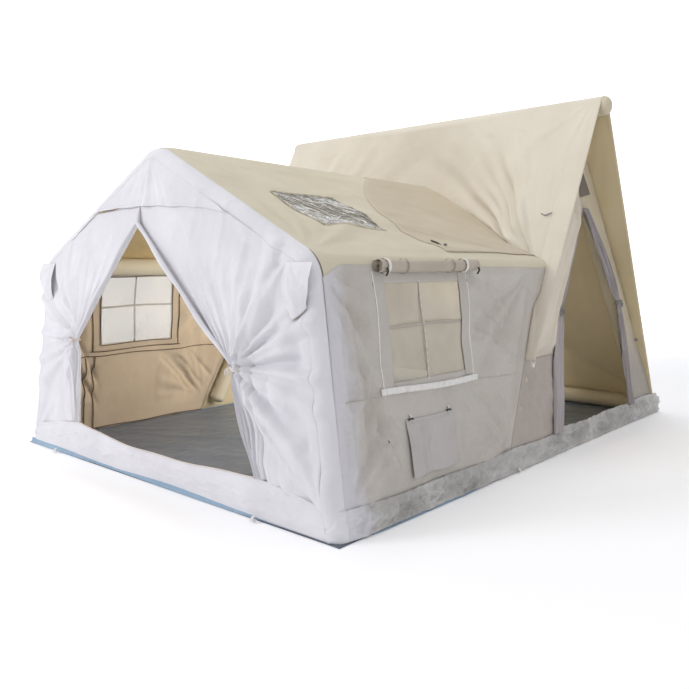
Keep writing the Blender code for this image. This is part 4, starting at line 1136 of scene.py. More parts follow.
share = np.linspace(0, 0.96, 92)
low = roof_point(1, share, valley_y(share), -0.014) + (0, 0.001, 0)
strip_z = np.linspace(EAVE_REAR_Z, STRIP_FOOT, 40)
strip = points(gable_x(strip_z) - 0.004, slope_y(strip_z) + 0.002, strip_z)
out = points(np.linspace(strip[-1, 0], TOWER_HALF, 6)[1:], strip[-1, 1], STRIP_FOOT)
half = np.concatenate([low, strip, out])
foot = np.concatenate([half[:0:-1] * (-1, 1, 1), half])
grid = over_ridge(foot, 1)
u, v = grid[..., 0], grid[..., 2]
down = lengths(grid, 0)
rise = down / down[-1]
height = 0.005 * crumple(u, v, 0.7, 71, angle=1.35, stretch=2.6)
sag = 0.020 * np.sin(np.clip(rise, 0, 1) * math.pi) ** 1.3
height -= sag * smooth((1.45 - np.abs(u)) / 0.9) * smooth((2.70 - v) / 0.7)
for side in (1, -1):
    height += fans(
        u, v, (0.032, (side * 1.60, 1.46), 0.36, 33, 72 + side, UP + side * 0.75, 0.75),
        (0.014, (side * 1.76, 0.80), 0.5, 9, 75 + side, UP + side * 0.1, 0.5),
        (0.008, (side * 1.70, 2.82), 0.5, 12, 78 + side, -UP - side * 0.4, 0.9),
    )
    height += long_creases(
        u, v, (0.012, (side * 1.52, 1.56), (side * 0.55, 2.05), 0.05, side * 0.05),
        (0.016, (side * 1.58, 1.50), (side * 1.15, 2.15), 0.05, side * 0.06),
        (0.012, (side * 1.62, 1.46), (side * 1.72, 0.85), 0.022),
        (0.008, (side * 1.70, 1.70), (side * 1.73, 0.95), 0.014),
    )
height *= edge_fade(u.shape, (5, ARC), (4, 4))
tubes = smooth((np.abs(u) - 1.28) / 0.08) + smooth((v - 2.62) / 0.06)
height = not_below(height, np.clip(tubes, 0, 1))
FRONT_WAY = (0, -1, 0.5)
cloth("tower_slope_front_cloth", push(grid, height, FRONT_WAY), tower_cloth, "tower_canvas", FRONT_WAY,
      ["tower_slope_front"], held="draped", flat=(3.60, 2.38), lining=tower_lining,
      rests_on=["tower_ridge_beam_sleeve", "tower_arch_right_sleeve", "tower_arch_left_sleeve"])

# %% [markdown]
# The back slope comes straight down to the ground.

# %% Back slope
low_z = 0.006
foot = points(np.linspace(-TOWER_HALF, TOWER_HALF, 170), slope_y(low_z), low_z)
grid = over_ridge(foot, -1)
u, v = grid[..., 0], grid[..., 2]
height = 0.012 * crumple(u, v, 0.8, 81, angle=1.5, stretch=2.4)
down = lengths(grid, 0)
height -= 0.035 * np.sin(down / down[-1] * math.pi) * np.cos(u / TOWER_HALF * math.pi / 2)
for side in (1, -1):
    height += fans(u, v, (0.014, (side * 1.70, 2.80), 0.7, 13, 83 + side, -UP - side * 0.4),
                   (0.014, (side * 1.70, 0.15), 0.7, 13, 86 + side, UP + side * 0.5))
height *= edge_fade(u.shape, (8, ARC), (4, 4))
tubes = smooth((np.abs(u) - 1.28) / 0.08) + smooth((v - 2.62) / 0.06) + smooth((0.20 - v) / 0.05)
height = not_below(height, np.clip(tubes, 0, 1))
BACK_WAY = (0, 1, 0.5)
cloth("tower_slope_back_cloth", push(grid, height, BACK_WAY), tower_cloth, "tower_canvas", BACK_WAY,
      ["tower_slope_back"], held="draped", rests_on=["tower_ridge_beam_sleeve"], lining=tower_lining)

# %% [markdown]
# ## Fly over the cabin roof
# The tower's cloth also runs forward over the cabin roof and ends in a hollow, swept edge. This
# doubled layer is coloured darker than the tower's cloth: painted shade, as two layers let less light
# through.

# %% Fly
for side, side_name in SIDES:
    share = np.linspace(0, 0.955, 90)[:, None]
    start = mix(-1.0, -0.08, (1 - np.minimum(share, 0.94) / 0.8) ** 2)
    y = mix(start, valley_y(share) + 0.080, np.linspace(0, 1, 90)[None, :])
    share = np.broadcast_to(share, y.shape)
    first, last = ROOF_BENDS
    grid = cabin_profile(y, mix(first, last, share) * smooth(share / 0.02))
    grid = points(side * grid[..., 0], y, grid[..., 1])
    near = smooth((y - start) / 0.05)
    height = roof_wrinkles(side, y, share) + mix(0.004, 0.0065, near)
    cloth(f"roof_fly_{side_name}", push(grid, height, OUT[side]), fly_cloth, "tower_canvas", OUT[side],
          [f"roof_overlap_{side_name}"], rests_on=[f"roof_{side_name}"], held="laid")

# %% [markdown]
# ## Tower end walls
# Each end wall stands inside the slopes' edges. The right one has the side door, whose two halves
# are gathered and tied at its edges.

# %% Tower end walls
DOOR_APEX = (0.95, 1.98)
DOOR_TIE_Z = 1.14
DOOR_SIDES = (("front", 0.16, 0.38, -1), ("rear", 1.69, 1.56, 1))


def door_edge(z, foot, tie):
    low = mix(foot, tie, np.clip(z / DOOR_TIE_Z, 0, 1))
    high = mix(tie, DOOR_APEX[0], np.clip((z - DOOR_TIE_Z) / (DOOR_APEX[1] - DOOR_TIE_Z), 0, 1))
    return np.where(z < DOOR_TIE_Z, low, high)


def wall_front_edge(z):
    """The end wall's front edge: it steps back behind the strip, and follows the sagging slope."""
    edge = slope_y(z) + (SKIN + 0.002) / math.sin(SLOPE) + SLACK
    bulge = 0.012 * np.sin(np.clip((z - EAVE_REAR_Z) / 1.2, 0, 1) * math.pi)
    return np.where(z < STRIP_FOOT, slope_y(z) + 0.002, edge + bulge)


TOP_Z = RIDGE_Z - BEAM - 0.004


def end_wall(name, side, inner_front, inner_rear, columns=46, z_range=(0.01, TOP_Z),
             material=None, wrap=False, flat=None):
    """A part of an end wall between two edges, each given as a function of height."""
    rows = int(60 * (z_range[1] - z_range[0])) + 2
    z = np.linspace(*z_range, rows)[:, None]
    across = np.linspace(0, 1, columns)[None, :]
    y = mix(inner_front(z), inner_rear(z), across)
    z = np.broadcast_to(z, y.shape)
    height = 0.012 * crumple(y, z, 0.45, 101 + side, angle=1.45, stretch=3.2)
    height += fans(y, z, (0.010, (0.95, 2.5), 0.8, 19, 103, -UP, 0.9),
                   (0.008, (2.2, 0.15), 0.6, 13, 104, 2.0, 0.8))
    height += 0.010 * crease(y, z, (1.50, 2.05), (1.98, 0.75), 0.05)
    low_leg = smooth((0.30 - y) / 0.15) * smooth((0.78 - z) / 0.1)
    height += 0.018 * crumple(y, z, 0.17, 105, angle=-0.9, stretch=2.2) * low_leg
    height *= smooth((z - 0.13) / 0.14)
    rims = smooth((y - wall_front_edge(z)) / 0.05) * smooth((wall_rear_edge(z) - y) / 0.05)
    height *= rims * edge_fade(y.shape, (3, 3), (0, 0))
    height = not_below(height, smooth((z - 1.9) / 0.2)) * 0.9
    if wrap:
        drawn = smooth((z - STRIP_FOOT) / 0.10) * (1 - smooth((z - 1.80) / 0.35))
        folds = 0.015 * np.sin(across * 17 + z * 3) + 0.010 * np.sin(across * 31 - z * 4 + 1)
        swept = (TOWER_HALF - 0.006 - gable_x(z)) * np.cos(across * math.pi / 2) ** 0.8
        height = np.maximum(height, 0) + drawn * (swept + folds * np.sin(across * math.pi))
    grid = gable_point(side, y, z, height)
    replaced = "tower_gable_right" if side > 0 else "tower_gable_left"
    cloth(name, grid, material or gable_cloth, "side_canvas", OUT[side], [replaced], flat=flat,
          rests_on=[replaced.replace("gable", "arch") + "_sleeve"], lining=tower_lining)


def wall_rear_edge(z):
    return 2 * TOWER_MID - slope_y(z) - (SKIN + 0.002) / math.sin(SLOPE)


front_door, rear_door = (lambda z, at=row[1:3]: door_edge(z, *at) for row in DOOR_SIDES)
end_wall("tower_end_left", -1, wall_front_edge, wall_rear_edge, 90)
end_wall("tower_end_right_leg", 1, wall_front_edge, front_door, z_range=(0.01, STRIP_FOOT),
         material=low_cloth, flat=(0.78, 0.85))
end_wall("tower_end_right_front", 1, wall_front_edge, front_door, z_range=(STRIP_FOOT, TOP_Z),
         material=strip_cloth, wrap=True)
end_wall("tower_end_right_rear", 1, rear_door, wall_rear_edge)

# %% [markdown]
# The halves of the side door hang tied back, so each is a bundle of deep pleats.

# %% Side door halves
NARROW, MIDDLE, WIDE = 0.10, 0.075, 0.115
for name, foot, tie, away in DOOR_SIDES:
    t = np.linspace(0, 1, 110)[None, :]
    z = np.linspace(DOOR_APEX[1] - 0.01, SKIRT + 0.002, 170)[:, None]
    above = np.clip((DOOR_APEX[1] - z) / (DOOR_APEX[1] - DOOR_TIE_Z), 0, 1)
    below = np.clip((DOOR_TIE_Z - z) / (DOOR_TIE_Z - SKIRT), 0, 1)
    pinch = bell(z, DOOR_TIE_Z, 0.09)
    belly = 0.16 if away > 0 else 0.06
    spread = mix(mix(NARROW, belly, np.sin(above * math.pi) ** 0.7), WIDE, smooth(below / 0.5))
    spread = mix(spread, MIDDLE * 0.75, pinch)
    drawn = 0.35 * np.clip(above, 0, 1)
    y = door_edge(z, foot, tie) + away * (spread * (t - drawn) + 0.001)
    roll = math.tau * (4 * t + 0.15 * np.sin(z * 7 + away) + 0.30 * below)
    deep = 0.020 * (0.35 + 0.65 * smooth(above * 2)) * (1 - 0.30 * pinch)
    fold = 1.9 * np.abs(np.sin(roll / 2)) ** 0.6 - 1.0 + 0.18 * np.sin(roll * 1.5 + z * 9)
    y = y + away * 0.007 * np.cos(roll) * (1 - pinch)
    grid = gable_point(1, y, np.broadcast_to(z, y.shape), 0.026 + deep * fold)
    cloth(f"side_door_{name}", grid, flap_cloth, "side_canvas", OUT[1], [f"side_flap_{name}"],
          held="gathered", rests_on=["tower_gable_right"])

# %% [markdown]
# ## Front wall
# One field of wrinkles runs over the whole front, so that the door halves, the fixed panel over
# them and the cloth round the corner tube all meet. The folds run out of the two ties.

# %% Outline of the front
outline_flat = [points(float(arch_edge_x(0.004)), 0, 0.004), points(arch_eave[0], 0, arch_eave[1])]
outline_flat += [points(0, 0, arch_ridge[1]), points(-arch_eave[0], 0, arch_eave[1])]
outline = rounded(outline_flat, ARCH_BEND, 0.012)
outline = outline[outline[:, 0] >= -1e-6]
outline = outline[np.argsort(outline[:, 2])]


def outline_x(z):
    """Half the width of the front wall at a height, to the middle of the corner tube."""
    return np.interp(z, outline[:, 2], outline[:, 0])


def outline_top(x):
    """The height of the front wall at x, to the middle of the corner tube."""
    return np.interp(-np.abs(x), -outline[:, 0], outline[:, 2])


print("front outline from", len(outline), "points")

# %% [markdown]
# One function gives the wrinkles of the whole front, so that panels that meet share them.

# %% Front wrinkles
TIES = {1: (0.89, 0.885, 1.13), -1: (-1.01, 0.93, -0.98)}
APEX_X = -0.13
HEM_MIDDLE_X, HEM_END_X = -0.25, 1.02
HEM_DROPS = (0.415, 0.470, 0.530)
SILL_LOW, SILL_ENDS = 0.21, ((-1.00, 0.29), (1.15, 0.255))
FRONT_FANS = (
    (0.024, TIES[1][:2], 0.42, 17, 122, 0.25, 1.3), (0.022, TIES[-1][:2], 0.36, 15, 123, 3.0, 1.3),
    (0.010, (1.40, 1.62), 0.5, 13, 124, -2.1, 0.9), (0.012, (1.70, 0.10), 0.6, 13, 125, 2.1, 0.7),
    (0.010, (-1.70, 0.10), 0.5, 11, 126, 1.2, 0.7), (0.007, (0.0, 2.25), 0.8, 15, 127, -UP, 1.0),
)
FRONT_CREASES = (
    (0.016, (0.95, 0.84), (1.62, 0.42), 0.035, -0.03), (0.013, (0.98, 0.78), (1.55, 0.22), 0.03, -0.02),
    (0.012, (0.96, 0.93), (1.60, 0.86), 0.03, 0.03), (0.010, (0.97, 1.00), (1.50, 1.22), 0.035, 0.03),
    (0.009, (0.45, 1.62), (0.80, 1.12), 0.05),
)


def front_wrinkles(x, z):
    """The height of the front's wrinkles, which stay outside the corner tube."""
    height = 0.010 * crumple(x, z, 0.50, 121, angle=1.3, stretch=2.4)
    height += fans(x, z, *FRONT_FANS) + long_creases(x, z, *FRONT_CREASES)
    edge = outline_x(z) - np.abs(x)
    top = outline_top(x) - z
    return not_below(1.5 * height, smooth((0.10 - np.minimum(edge, top)) / 0.05))


def brow_hem(x):
    """The lower edge of the fixed panel over the doors."""
    middle, left_end, right_end = HEM_DROPS
    left = middle + (left_end - middle) * ((HEM_MIDDLE_X - x) / (HEM_MIDDLE_X + HEM_END_X)) ** 2
    on_right = middle + (right_end - middle) * ((x - HEM_MIDDLE_X) / (HEM_END_X - HEM_MIDDLE_X)) ** 2
    return CABIN_HEIGHT - np.where(x < HEM_MIDDLE_X, left, on_right)


def sill_top(x):
    """The upper edge of the band across the front."""
    (left_x, left_z), (right_x, right_z) = SILL_ENDS
    left = mix(SKIRT, left_z, (x + WALL_FOOT) / (WALL_FOOT + left_x))
    far = mix(SKIRT, right_z, (WALL_FOOT - x) / (WALL_FOOT - right_x))
    span = np.where(x < 0, left_x, right_x)
    sag = mix(SILL_LOW, np.where(x < 0, left_z, right_z), (x / span) ** 2)
    return np.where(x < left_x, left, np.where(x > right_x, far, sag))


# %% [markdown]
# A strip of the front cloth goes round the corner tube and hides the joint with roof and walls.

# %% Corner cloth round the front arch
arch = front_arch(INSET, 0.004, 0.012)
flow = unit(np.gradient(arch, axis=0)) * (1, 0, 1)
outward = unit(np.stack([flow[:, 2], 0 * flow[:, 0], -flow[:, 0]], -1))
turn = np.linspace(0, math.radians(90), 22)
ring = points(0, -np.cos(turn), 0)[None] + outward[:, None] * np.sin(turn)[None, :, None]
at_x, at_z = arch[:, 0][:, None], arch[:, 2][:, None]
run = lengths(arch, 0)[:, None]
height = front_wrinkles(at_x, at_z) * (1 - smooth(turn / 1.3))[None]
bend_x = np.minimum(np.abs(np.abs(at_x) - arch_eave[0]), 1) + np.abs(at_z - arch_eave[1])
pinch = crumple(run * 2.0, turn[None] * 0.08, 0.10, 131) * bell(bend_x, 0, 0.20)
soft = 0.004 * pinch + 0.003 * crumple(run, turn[None] * 0.1, 0.3, 132)
height = height + soft * np.sin(turn * 2)[None]
grid = arch[:, None] + ring * (INSET + np.maximum(height, -0.0005))[..., None]
cloth("front_corner_cloth", grid, front_cloth, "front_canvas", (0, -1, 0.3),
      rests_on=["front_arch_sleeve"])

# %% [markdown]
# The fixed panel over the doors ends in a hem that stands off the doors on the left.

# %% Fixed panel over the doors
share = np.linspace(0, 1, 70)[:, None]
x = np.linspace(-HEM_END_X - 0.05, HEM_END_X + 0.02, 160)[None, :]
top = outline_top(x)
hem = np.minimum(brow_hem(x) + 0.004 * np.sin(x * 19) * np.sin(x * 7), top - 0.001)
z = mix(hem, top, share)
x = np.broadcast_to(x, z.shape)
lift = 0.0045 * (1 - smooth((share - 0.75) / 0.25))
curl = 0.016 * bell(x, -0.52, 0.27) + 0.008 * bell(x, -0.05, 0.2)
curl += 0.007 * bell(x, 0.80, 0.22)
near_hem = 1 - smooth((z - hem) / 0.11)
side_fade = smooth((HEM_END_X + 0.05 - np.abs(x)) / 0.05)
height = front_wrinkles(x, z) + lift + curl * near_hem * side_fade
height += 0.0025 * bell(z - hem, 0.022, 0.003)
cloth("front_brow_cloth", front_point(x, z, height), front_cloth, "front_canvas", (0, -1, 0),
      ["front_brow"], held="hung", rests_on=["front_arch_sleeve"], thick=0.002, flat=(2.10, 0.36))

# %% [markdown]
# ## Door halves
# Each half falls from the gable's edge, is drawn together at its tie and hangs on as a tail of a few
# deep folds. Its free edge is rolled outwards from the apex down to the tie.

# %% Door halves
ROLL_FROM = 0.93
APEX_Z = 1.80
DOOR_POINTS, UPPER_ROWS, LOWER_ROWS = 210, 80, 66
TUCK = 0.045
PLEATS, PLEAT_DEPTH, ROLL_WIDTH = 7, 0.030, 0.024


def door_half(side):
    """The points of one half: from the hem of the panel above, through its tie, to the sill."""
    tie_x, tie_z, foot_x = TIES[side]
    hem_x = HEM_END_X - TUCK
    start_z = arch_eave[1] - 0.09
    rim = outline[(outline[:, 2] > start_z) & (outline[:, 0] > hem_x)]
    top_run = [(side * x, z) for x, z in zip(rim[:, 0], rim[:, 2])]
    top_run += [(side * hem_x, outline_top(hem_x)), (APEX_X + side * 0.001, brow_hem(APEX_X) + TUCK)]
    top_run = np.array(top_run, float)
    run = lengths(top_run, 0)
    share_across = np.linspace(0, 1, DOOR_POINTS)
    across = np.minimum(share_across / ROLL_FROM, 1)
    place = across * run[-1]
    top = np.stack([np.interp(place, run, top_run[:, 0]), np.interp(place, run, top_run[:, 1])], -1)
    slit = np.exp(-(((top[:, 0] + 0.56) / 0.20) ** 4))
    covered = np.minimum(brow_hem(top[:, 0]) + 0.035 - 0.043 * slit, outline_top(top[:, 0]) - 0.004)
    top[:, 1] = np.where(np.abs(top[:, 0]) < hem_x, np.maximum(top[:, 1], covered), top[:, 1])
    gather = 1 - (1 - across) ** 3.0
    waist = np.stack([mix(side * outline_x(tie_z), tie_x, gather), np.full_like(across, tie_z)], -1)
    gather = 1 - (1 - across) ** 4.5
    low_x = mix(side * outline_x(SKIRT), foot_x, gather)
    low = np.stack([low_x, sill_top(low_x) - 0.02 * (np.abs(low_x) > 1.2)], -1)
    knee = (top[-1, 1] - APEX_Z) / (top[-1, 1] - tie_z)
    rows, part, grown = [], [], []
    for share in np.linspace(0, 1, UPPER_ROWS):
        spot = mix(top, waist, share)
        closed = APEX_X if share < knee else mix(APEX_X, tie_x, (share - knee) / (1 - knee))
        spot[:, 0] += (closed - mix(APEX_X, tie_x, share)) * across**3
        rows.append(spot)
        part.append(0 * across)
        grown.append(0 * across + share)
    for share in np.linspace(0, 1, LOWER_ROWS)[1:]:
        spot = mix(waist, low, share)
        spot[:, 0] -= side * 0.035 * math.sin(math.pi * min(share * 1.3, 1)) * across**6
        rows.append(spot)
        part.append(0 * across + share)
        grown.append(0 * across + 1)
    flat = np.array(rows)
    x, z = flat[..., 0], flat[..., 1]
    below, grown = np.array(part), np.array(grown)
    slack = 1 - (1 - np.clip((across - 0.16) / 0.84, 0, 1)) ** 2.4
    wobble = 0.35 * np.sin(z * 5.3 + side) + 0.5 * below
    phase = math.tau * (PLEATS * across**1.3 + 0.10 * wobble)
    ridge_fold = 1.9 * np.abs(np.sin(phase / 2)) ** 0.7 - 1.0
    wave = mix(np.sin(phase), ridge_fold, smooth(grown * 2 - 1)) + 0.12 * np.sin(3.1 * phase + z * 11)
    near_tie = bell(z, tie_z, 0.08)
    deep = PLEAT_DEPTH * slack * (0.08 * grown + 0.92 * grown**3.5) * (1 - 0.40 * near_tie)
    body = 1 - smooth((across - 0.55) / 0.35)
    height = deep * wave + front_wrinkles(x, z) * body[None]
    inner = smooth((across - 0.50) / 0.35)[None] * smooth(below / 0.25)
    height += inner * (0.012 + 0.005 * np.sin(z * 14 + side))
    rolled = np.clip((share_across - ROLL_FROM) / (1 - ROLL_FROM), 0, 1)[None]
    radius = ROLL_WIDTH * (1 - 0.45 * near_tie) * smooth(grown * 5) * (1 - 0.5 * smooth(below / 0.15))
    radius = radius * (1 + 0.15 * np.sin(z * 17 + side))
    angle = rolled * math.pi * 1.45
    x = x - side * radius * np.sin(angle)
    height = height + radius * (1 - np.cos(angle))
    fade = smooth((outline_x(z) - np.abs(x)) / 0.03) * smooth((outline_top(x) - z) / 0.02)
    return front_point(x, z, mix(front_wrinkles(x, z), height, fade))


for side, side_name in SIDES:
    cloth(f"door_half_{side_name}", door_half(side), front_cloth, "front_canvas", (0, -1, 0),
          [f"front_curtain_{side_name}"], held="gathered", rests_on=["front_arch_sleeve"])


def band(name, middle, sizes, material, replaces):
    """A flat strap bent round a bundle: an oval in the plane across the bundle."""
    half_x, half_y, tall = sizes
    turn = np.linspace(0, math.tau, 49)
    rows = []
    for lift in FIVE:
        wave = 1 + 0.08 * np.sin(turn * 3 + lift * 5)
        height = tall * (lift + 0.18 * np.sin(turn * 2 + 1))
        rows.append(points(half_x * wave * np.cos(turn), half_y * wave * np.sin(turn), height) + middle)
    return cloth(name, np.array(rows), material, "tie_webbing", (0, -1, 0), replaces, declare=False)


for side, side_name in SIDES:
    tie_x, tie_z, _ = TIES[side]
    centre = (tie_x + side * 0.030, float(front_y(tie_z)) - 0.004, tie_z)
    band(f"front_tie_{side_name}", centre, (0.050, 0.038, 0.026), hem_cloth, [f"tie_back_{side_name}"])
    start = np.array([tie_x - side * 0.004, centre[1] - 0.036, tie_z])
    for index, (swing, drop) in enumerate(((-0.020, 0.045), (0.016, 0.034))):
        path = [start, start + (swing * 0.6, -0.012, -drop * 0.25), start + (swing, -0.010, -drop)]
        cord(f"front_knot_{side_name}_{index}", path, 0.012, 0.005, hem_cloth, 12)
print("front wall done")

# %% [markdown]
# ## Band, skirts and groundsheet
# A white band closes the front under the doors, and grey waterproof skirts run round the rest. They
# pucker along their length. The groundsheet's blue edge shows under them.

# %% Band across the front
STRAIGHT, CORNER = 300, 17
quarter = np.linspace(0, 90, CORNER + 1)[1:]
turns = np.radians(np.concatenate([-quarter[::-1], np.zeros(STRAIGHT), quarter]))
x0 = np.concatenate([
    np.full(CORNER, -ARCH_X), np.linspace(-ARCH_X, ARCH_X, STRAIGHT), np.full(CORNER, ARCH_X)
])
share = np.linspace(0, 1, 44)[:, None]
top = sill_top(x0) + 0.004 * np.sin(x0 * 9 + 1) * np.cos(turns)
bottom = 0.006 + 0.026 * smooth((1.25 - x0) / 0.9) * (0.7 + 0.3 * np.sin(x0 * 4 + 0.6)) * np.cos(turns)
z = mix(bottom, top, share)
run = x0 + np.sin(turns) * INSET
height = 0.016 * crumple(run, z * 1.4, 0.34, 141, angle=0.05, stretch=3.0) * np.sin(share * math.pi)
height += 0.010 * crumple(run, z, 0.15, 142, angle=0.5, stretch=1.8) * np.sin(share * math.pi)
height += 0.016 * np.sin(share * math.pi) ** 0.8 * smooth((1.5 - np.abs(run - 0.05)) / 0.6)
height += 0.004 * bell(share, 0.94, 0.03) + 0.0045
centre = points(np.sign(x0) * np.minimum(np.abs(x0), outline_x(z)), front_y(z) + INSET, z)
ring = points(np.sin(turns), -np.cos(turns), 0)
grid = centre + ring * (INSET + np.maximum(height, 0.004))[..., None]
cloth("front_band", grid, front_cloth, "front_canvas", (0, -1, 0), ["skirt_front"], held="hung",
      rests_on=["groundsheet"], flat=(3.72, 0.36), thick=0.002)
lip = grid[-1][CORNER:-CORNER]
lip = lip[(lip[:, 0] > -1.02) & (lip[:, 0] < 1.17)] + (0, -0.001, 0.001)
tube("front_band_hem", lip, 0.0055, hem_cloth, "front_canvas", around=12)

# %% [markdown]
# The skirts are of a heavier grey film and lie crumpled round the foot. The blue groundsheet looks
# out from under them as a thin edge.

# %% Skirts and the blue edge
EDGE_FOOT = 0.0035
# The least that a skirt stands off the taut wall.
CLEAR = 0.0045


def skirt_grid(side, y, z, height):
    """The foot of the side: it leans with the cabin wall and then with the tower's end wall."""
    cabin = wall_point(side, y, z, height)
    tower = gable_point(side, y, z, height)
    share = smooth((y - TOWER_FRONT) / 0.22 + 1)[..., None]
    return mix(cabin, tower, share)


for side, side_name in SIDES:
    y = np.linspace(FRONT_FOOT + INSET - 0.004, TOWER_REAR, 420)[None, :]
    share = np.linspace(0, 1, 34)[:, None]
    top = SKIRT - 0.004 + 0.010 * np.sin(y * 5.1 + side) * np.sin(y * 2.3)
    top = top + 0.03 * smooth((y - 0.1) / 0.3)
    z = mix(0.006 + 0 * y, top, share)
    y = np.broadcast_to(y, z.shape)
    height = 0.050 * crumple(y, z, 0.13, 151 + side, angle=0.9, stretch=2.4, octaves=4)
    height += 0.034 * crumple(y, z * 1.5, 0.24, 153 + side, angle=-0.3, stretch=2.6)
    height = (height + 0.014) * (0.25 + 0.75 * np.sin(share * math.pi)) + 0.0055
    height += 0.004 * bell(share, 0.93, 0.03)
    height = np.clip(height, 0.004, 0.050) + 0.012 * (1 - smooth(share / 0.2))
    height = mix(0.0055, height, smooth((y - FRONT_FOOT - INSET) / 0.12))
    grid = skirt_grid(side, y, z, np.maximum(height, CLEAR))
    cloth(f"skirt_cloth_{side_name}", grid, skirt_cloth, "skirt_fabric", OUT[side],
          [f"skirt_{side_name}"], rests_on=["groundsheet"], thick=0.002)
    y = np.linspace(FRONT_FOOT + 0.25, 0.3, 120)[None, :]
    share = np.linspace(0, 1, 10)[:, None]
    y = np.broadcast_to(y, (10, 120))
    flare = 0.030 * (1 - share) * smooth(0.5 + 0.9 * np.sin(y * 2.6 - 0.6)) + 0.001
    grid = points(side * (WALL_FOOT + flare), y, mix(EDGE_FOOT, 0.012, share))
    cloth(f"ground_edge_{side_name}", grid, edge_cloth, "floor_fabric", OUT[side], held="laid",
          rests_on=["groundsheet"], flat=(2.45, 0.05))

# %% [markdown]
# The front has the same thin edge, the rear has a skirt, and the groundsheet lies inside.

# %% Front edge, rear skirt and groundsheet
x = np.linspace(-ARCH_X - 0.06, ARCH_X + 0.02, 260)[None, :]
share = np.linspace(0, 1, 12)[:, None]
x = np.broadcast_to(x, (12, 260))
flare = 0.016 * (1 - share) * smooth((1.45 - x) / 0.5) * (0.75 + 0.25 * np.sin(x * 3.1)) + 0.001
flare += 0.003 * crumple(x, share * 0.07, 0.12, 161) * (1 - share)
grid = points(x, front_y(0) - flare, mix(EDGE_FOOT, 0.045, share))
cloth("ground_edge_front", grid, edge_cloth, "floor_fabric", (0, -1, 0.3), held="laid",
      rests_on=["groundsheet"], flat=(3.54, 0.10))
x = np.linspace(-ARCH_X - 0.05, ARCH_X + 0.05, 300)[None, :]
share = np.linspace(0, 1, 26)[:, None]
z = np.broadcast_to(mix(0.006, SKIRT, share), (26, 300))
x = np.broadcast_to(x, z.shape)
height = 0.012 * crumple(x, z, 0.18, 171, angle=0.6, stretch=1.8) * np.sin(share * math.pi) + 0.0065
grid = points(x, 2 * TOWER_MID - slope_y(z) + np.maximum(height, 0.005) / math.sin(SLOPE), z)
cloth("skirt_cloth_rear", grid, skirt_cloth, "skirt_fabric", (0, 1, 0), ["skirt_rear"],
      rests_on=["groundsheet"], thick=0.002)

x, y = np.meshgrid(
    np.linspace(-HALF_WIDTH, HALF_WIDTH, 120), np.linspace(-HALF_LENGTH, HALF_LENGTH, 160)
)
inside = np.minimum(HALF_WIDTH - np.abs(x), HALF_LENGTH - np.abs(y))
height = 0.010 * crumple(x, y, 0.55, 181, angle=0.6, stretch=1.6)
height += long_creases(x, y, (0.012, (-1.2, -1.6), (0.9, -0.6), 0.03, 0.1),
                       (0.010, (0.2, -2.1), (1.3, -0.2), 0.03))
height = 0.0032 + np.maximum(height + 0.003, 0) * smooth((inside - 0.06) / 0.15)
cloth("groundsheet_cloth", points(x, y, height), floor_cloth, "floor_fabric", (0, 0, 1),
      ["groundsheet"], held="laid")

# %% [markdown]
# ## Windows, blinds and zips
# Each window is a net with a cross of tape. The blind is a loose roll over it, held by two white
# bands and two toggles. White zips run down both sides, and a puckered white tape holds the sill.

# %% Windows
def on_wall(side, y, z, lift):
    """A point lifted off the wrinkled side wall."""
    y, z = np.broadcast_arrays(np.asarray(y, float), np.asarray(z, float))
    return wall_point(side, y, z, lift + wall_height(side, y, z))


def ribbon(name, path, width, across, material, slot, replaces=(), body=BODY, thick=0.0015,
           toward=(1, 0, 0), wave=0.0):
    """A flat tape along a path, as wide as given in the direction across it. The wave puckers it."""
    path = np.asarray(path, float)
    across = np.broadcast_to(np.asarray(across, float), path.shape)
    grid = np.array([path + across * width * s for s in FIVE])
    pucker = wave * crumple(lengths(path, 0), 0 * path[:, 0], 0.06, 191)
    grid += unit(np.asarray(toward, float)) * pucker[None, :, None]
    return cloth(name, grid, material, slot, toward, replaces, body, thick, declare=False)


def wall_tape(name, side, y, z, lift, width, across, material, slot="side_canvas", **more):
    """A tape sewn along a line of a side wall."""
    path = on_wall(side, y, z, lift)
    return ribbon(name, path, width, across, material, slot, toward=(side, 0, 0), **more)


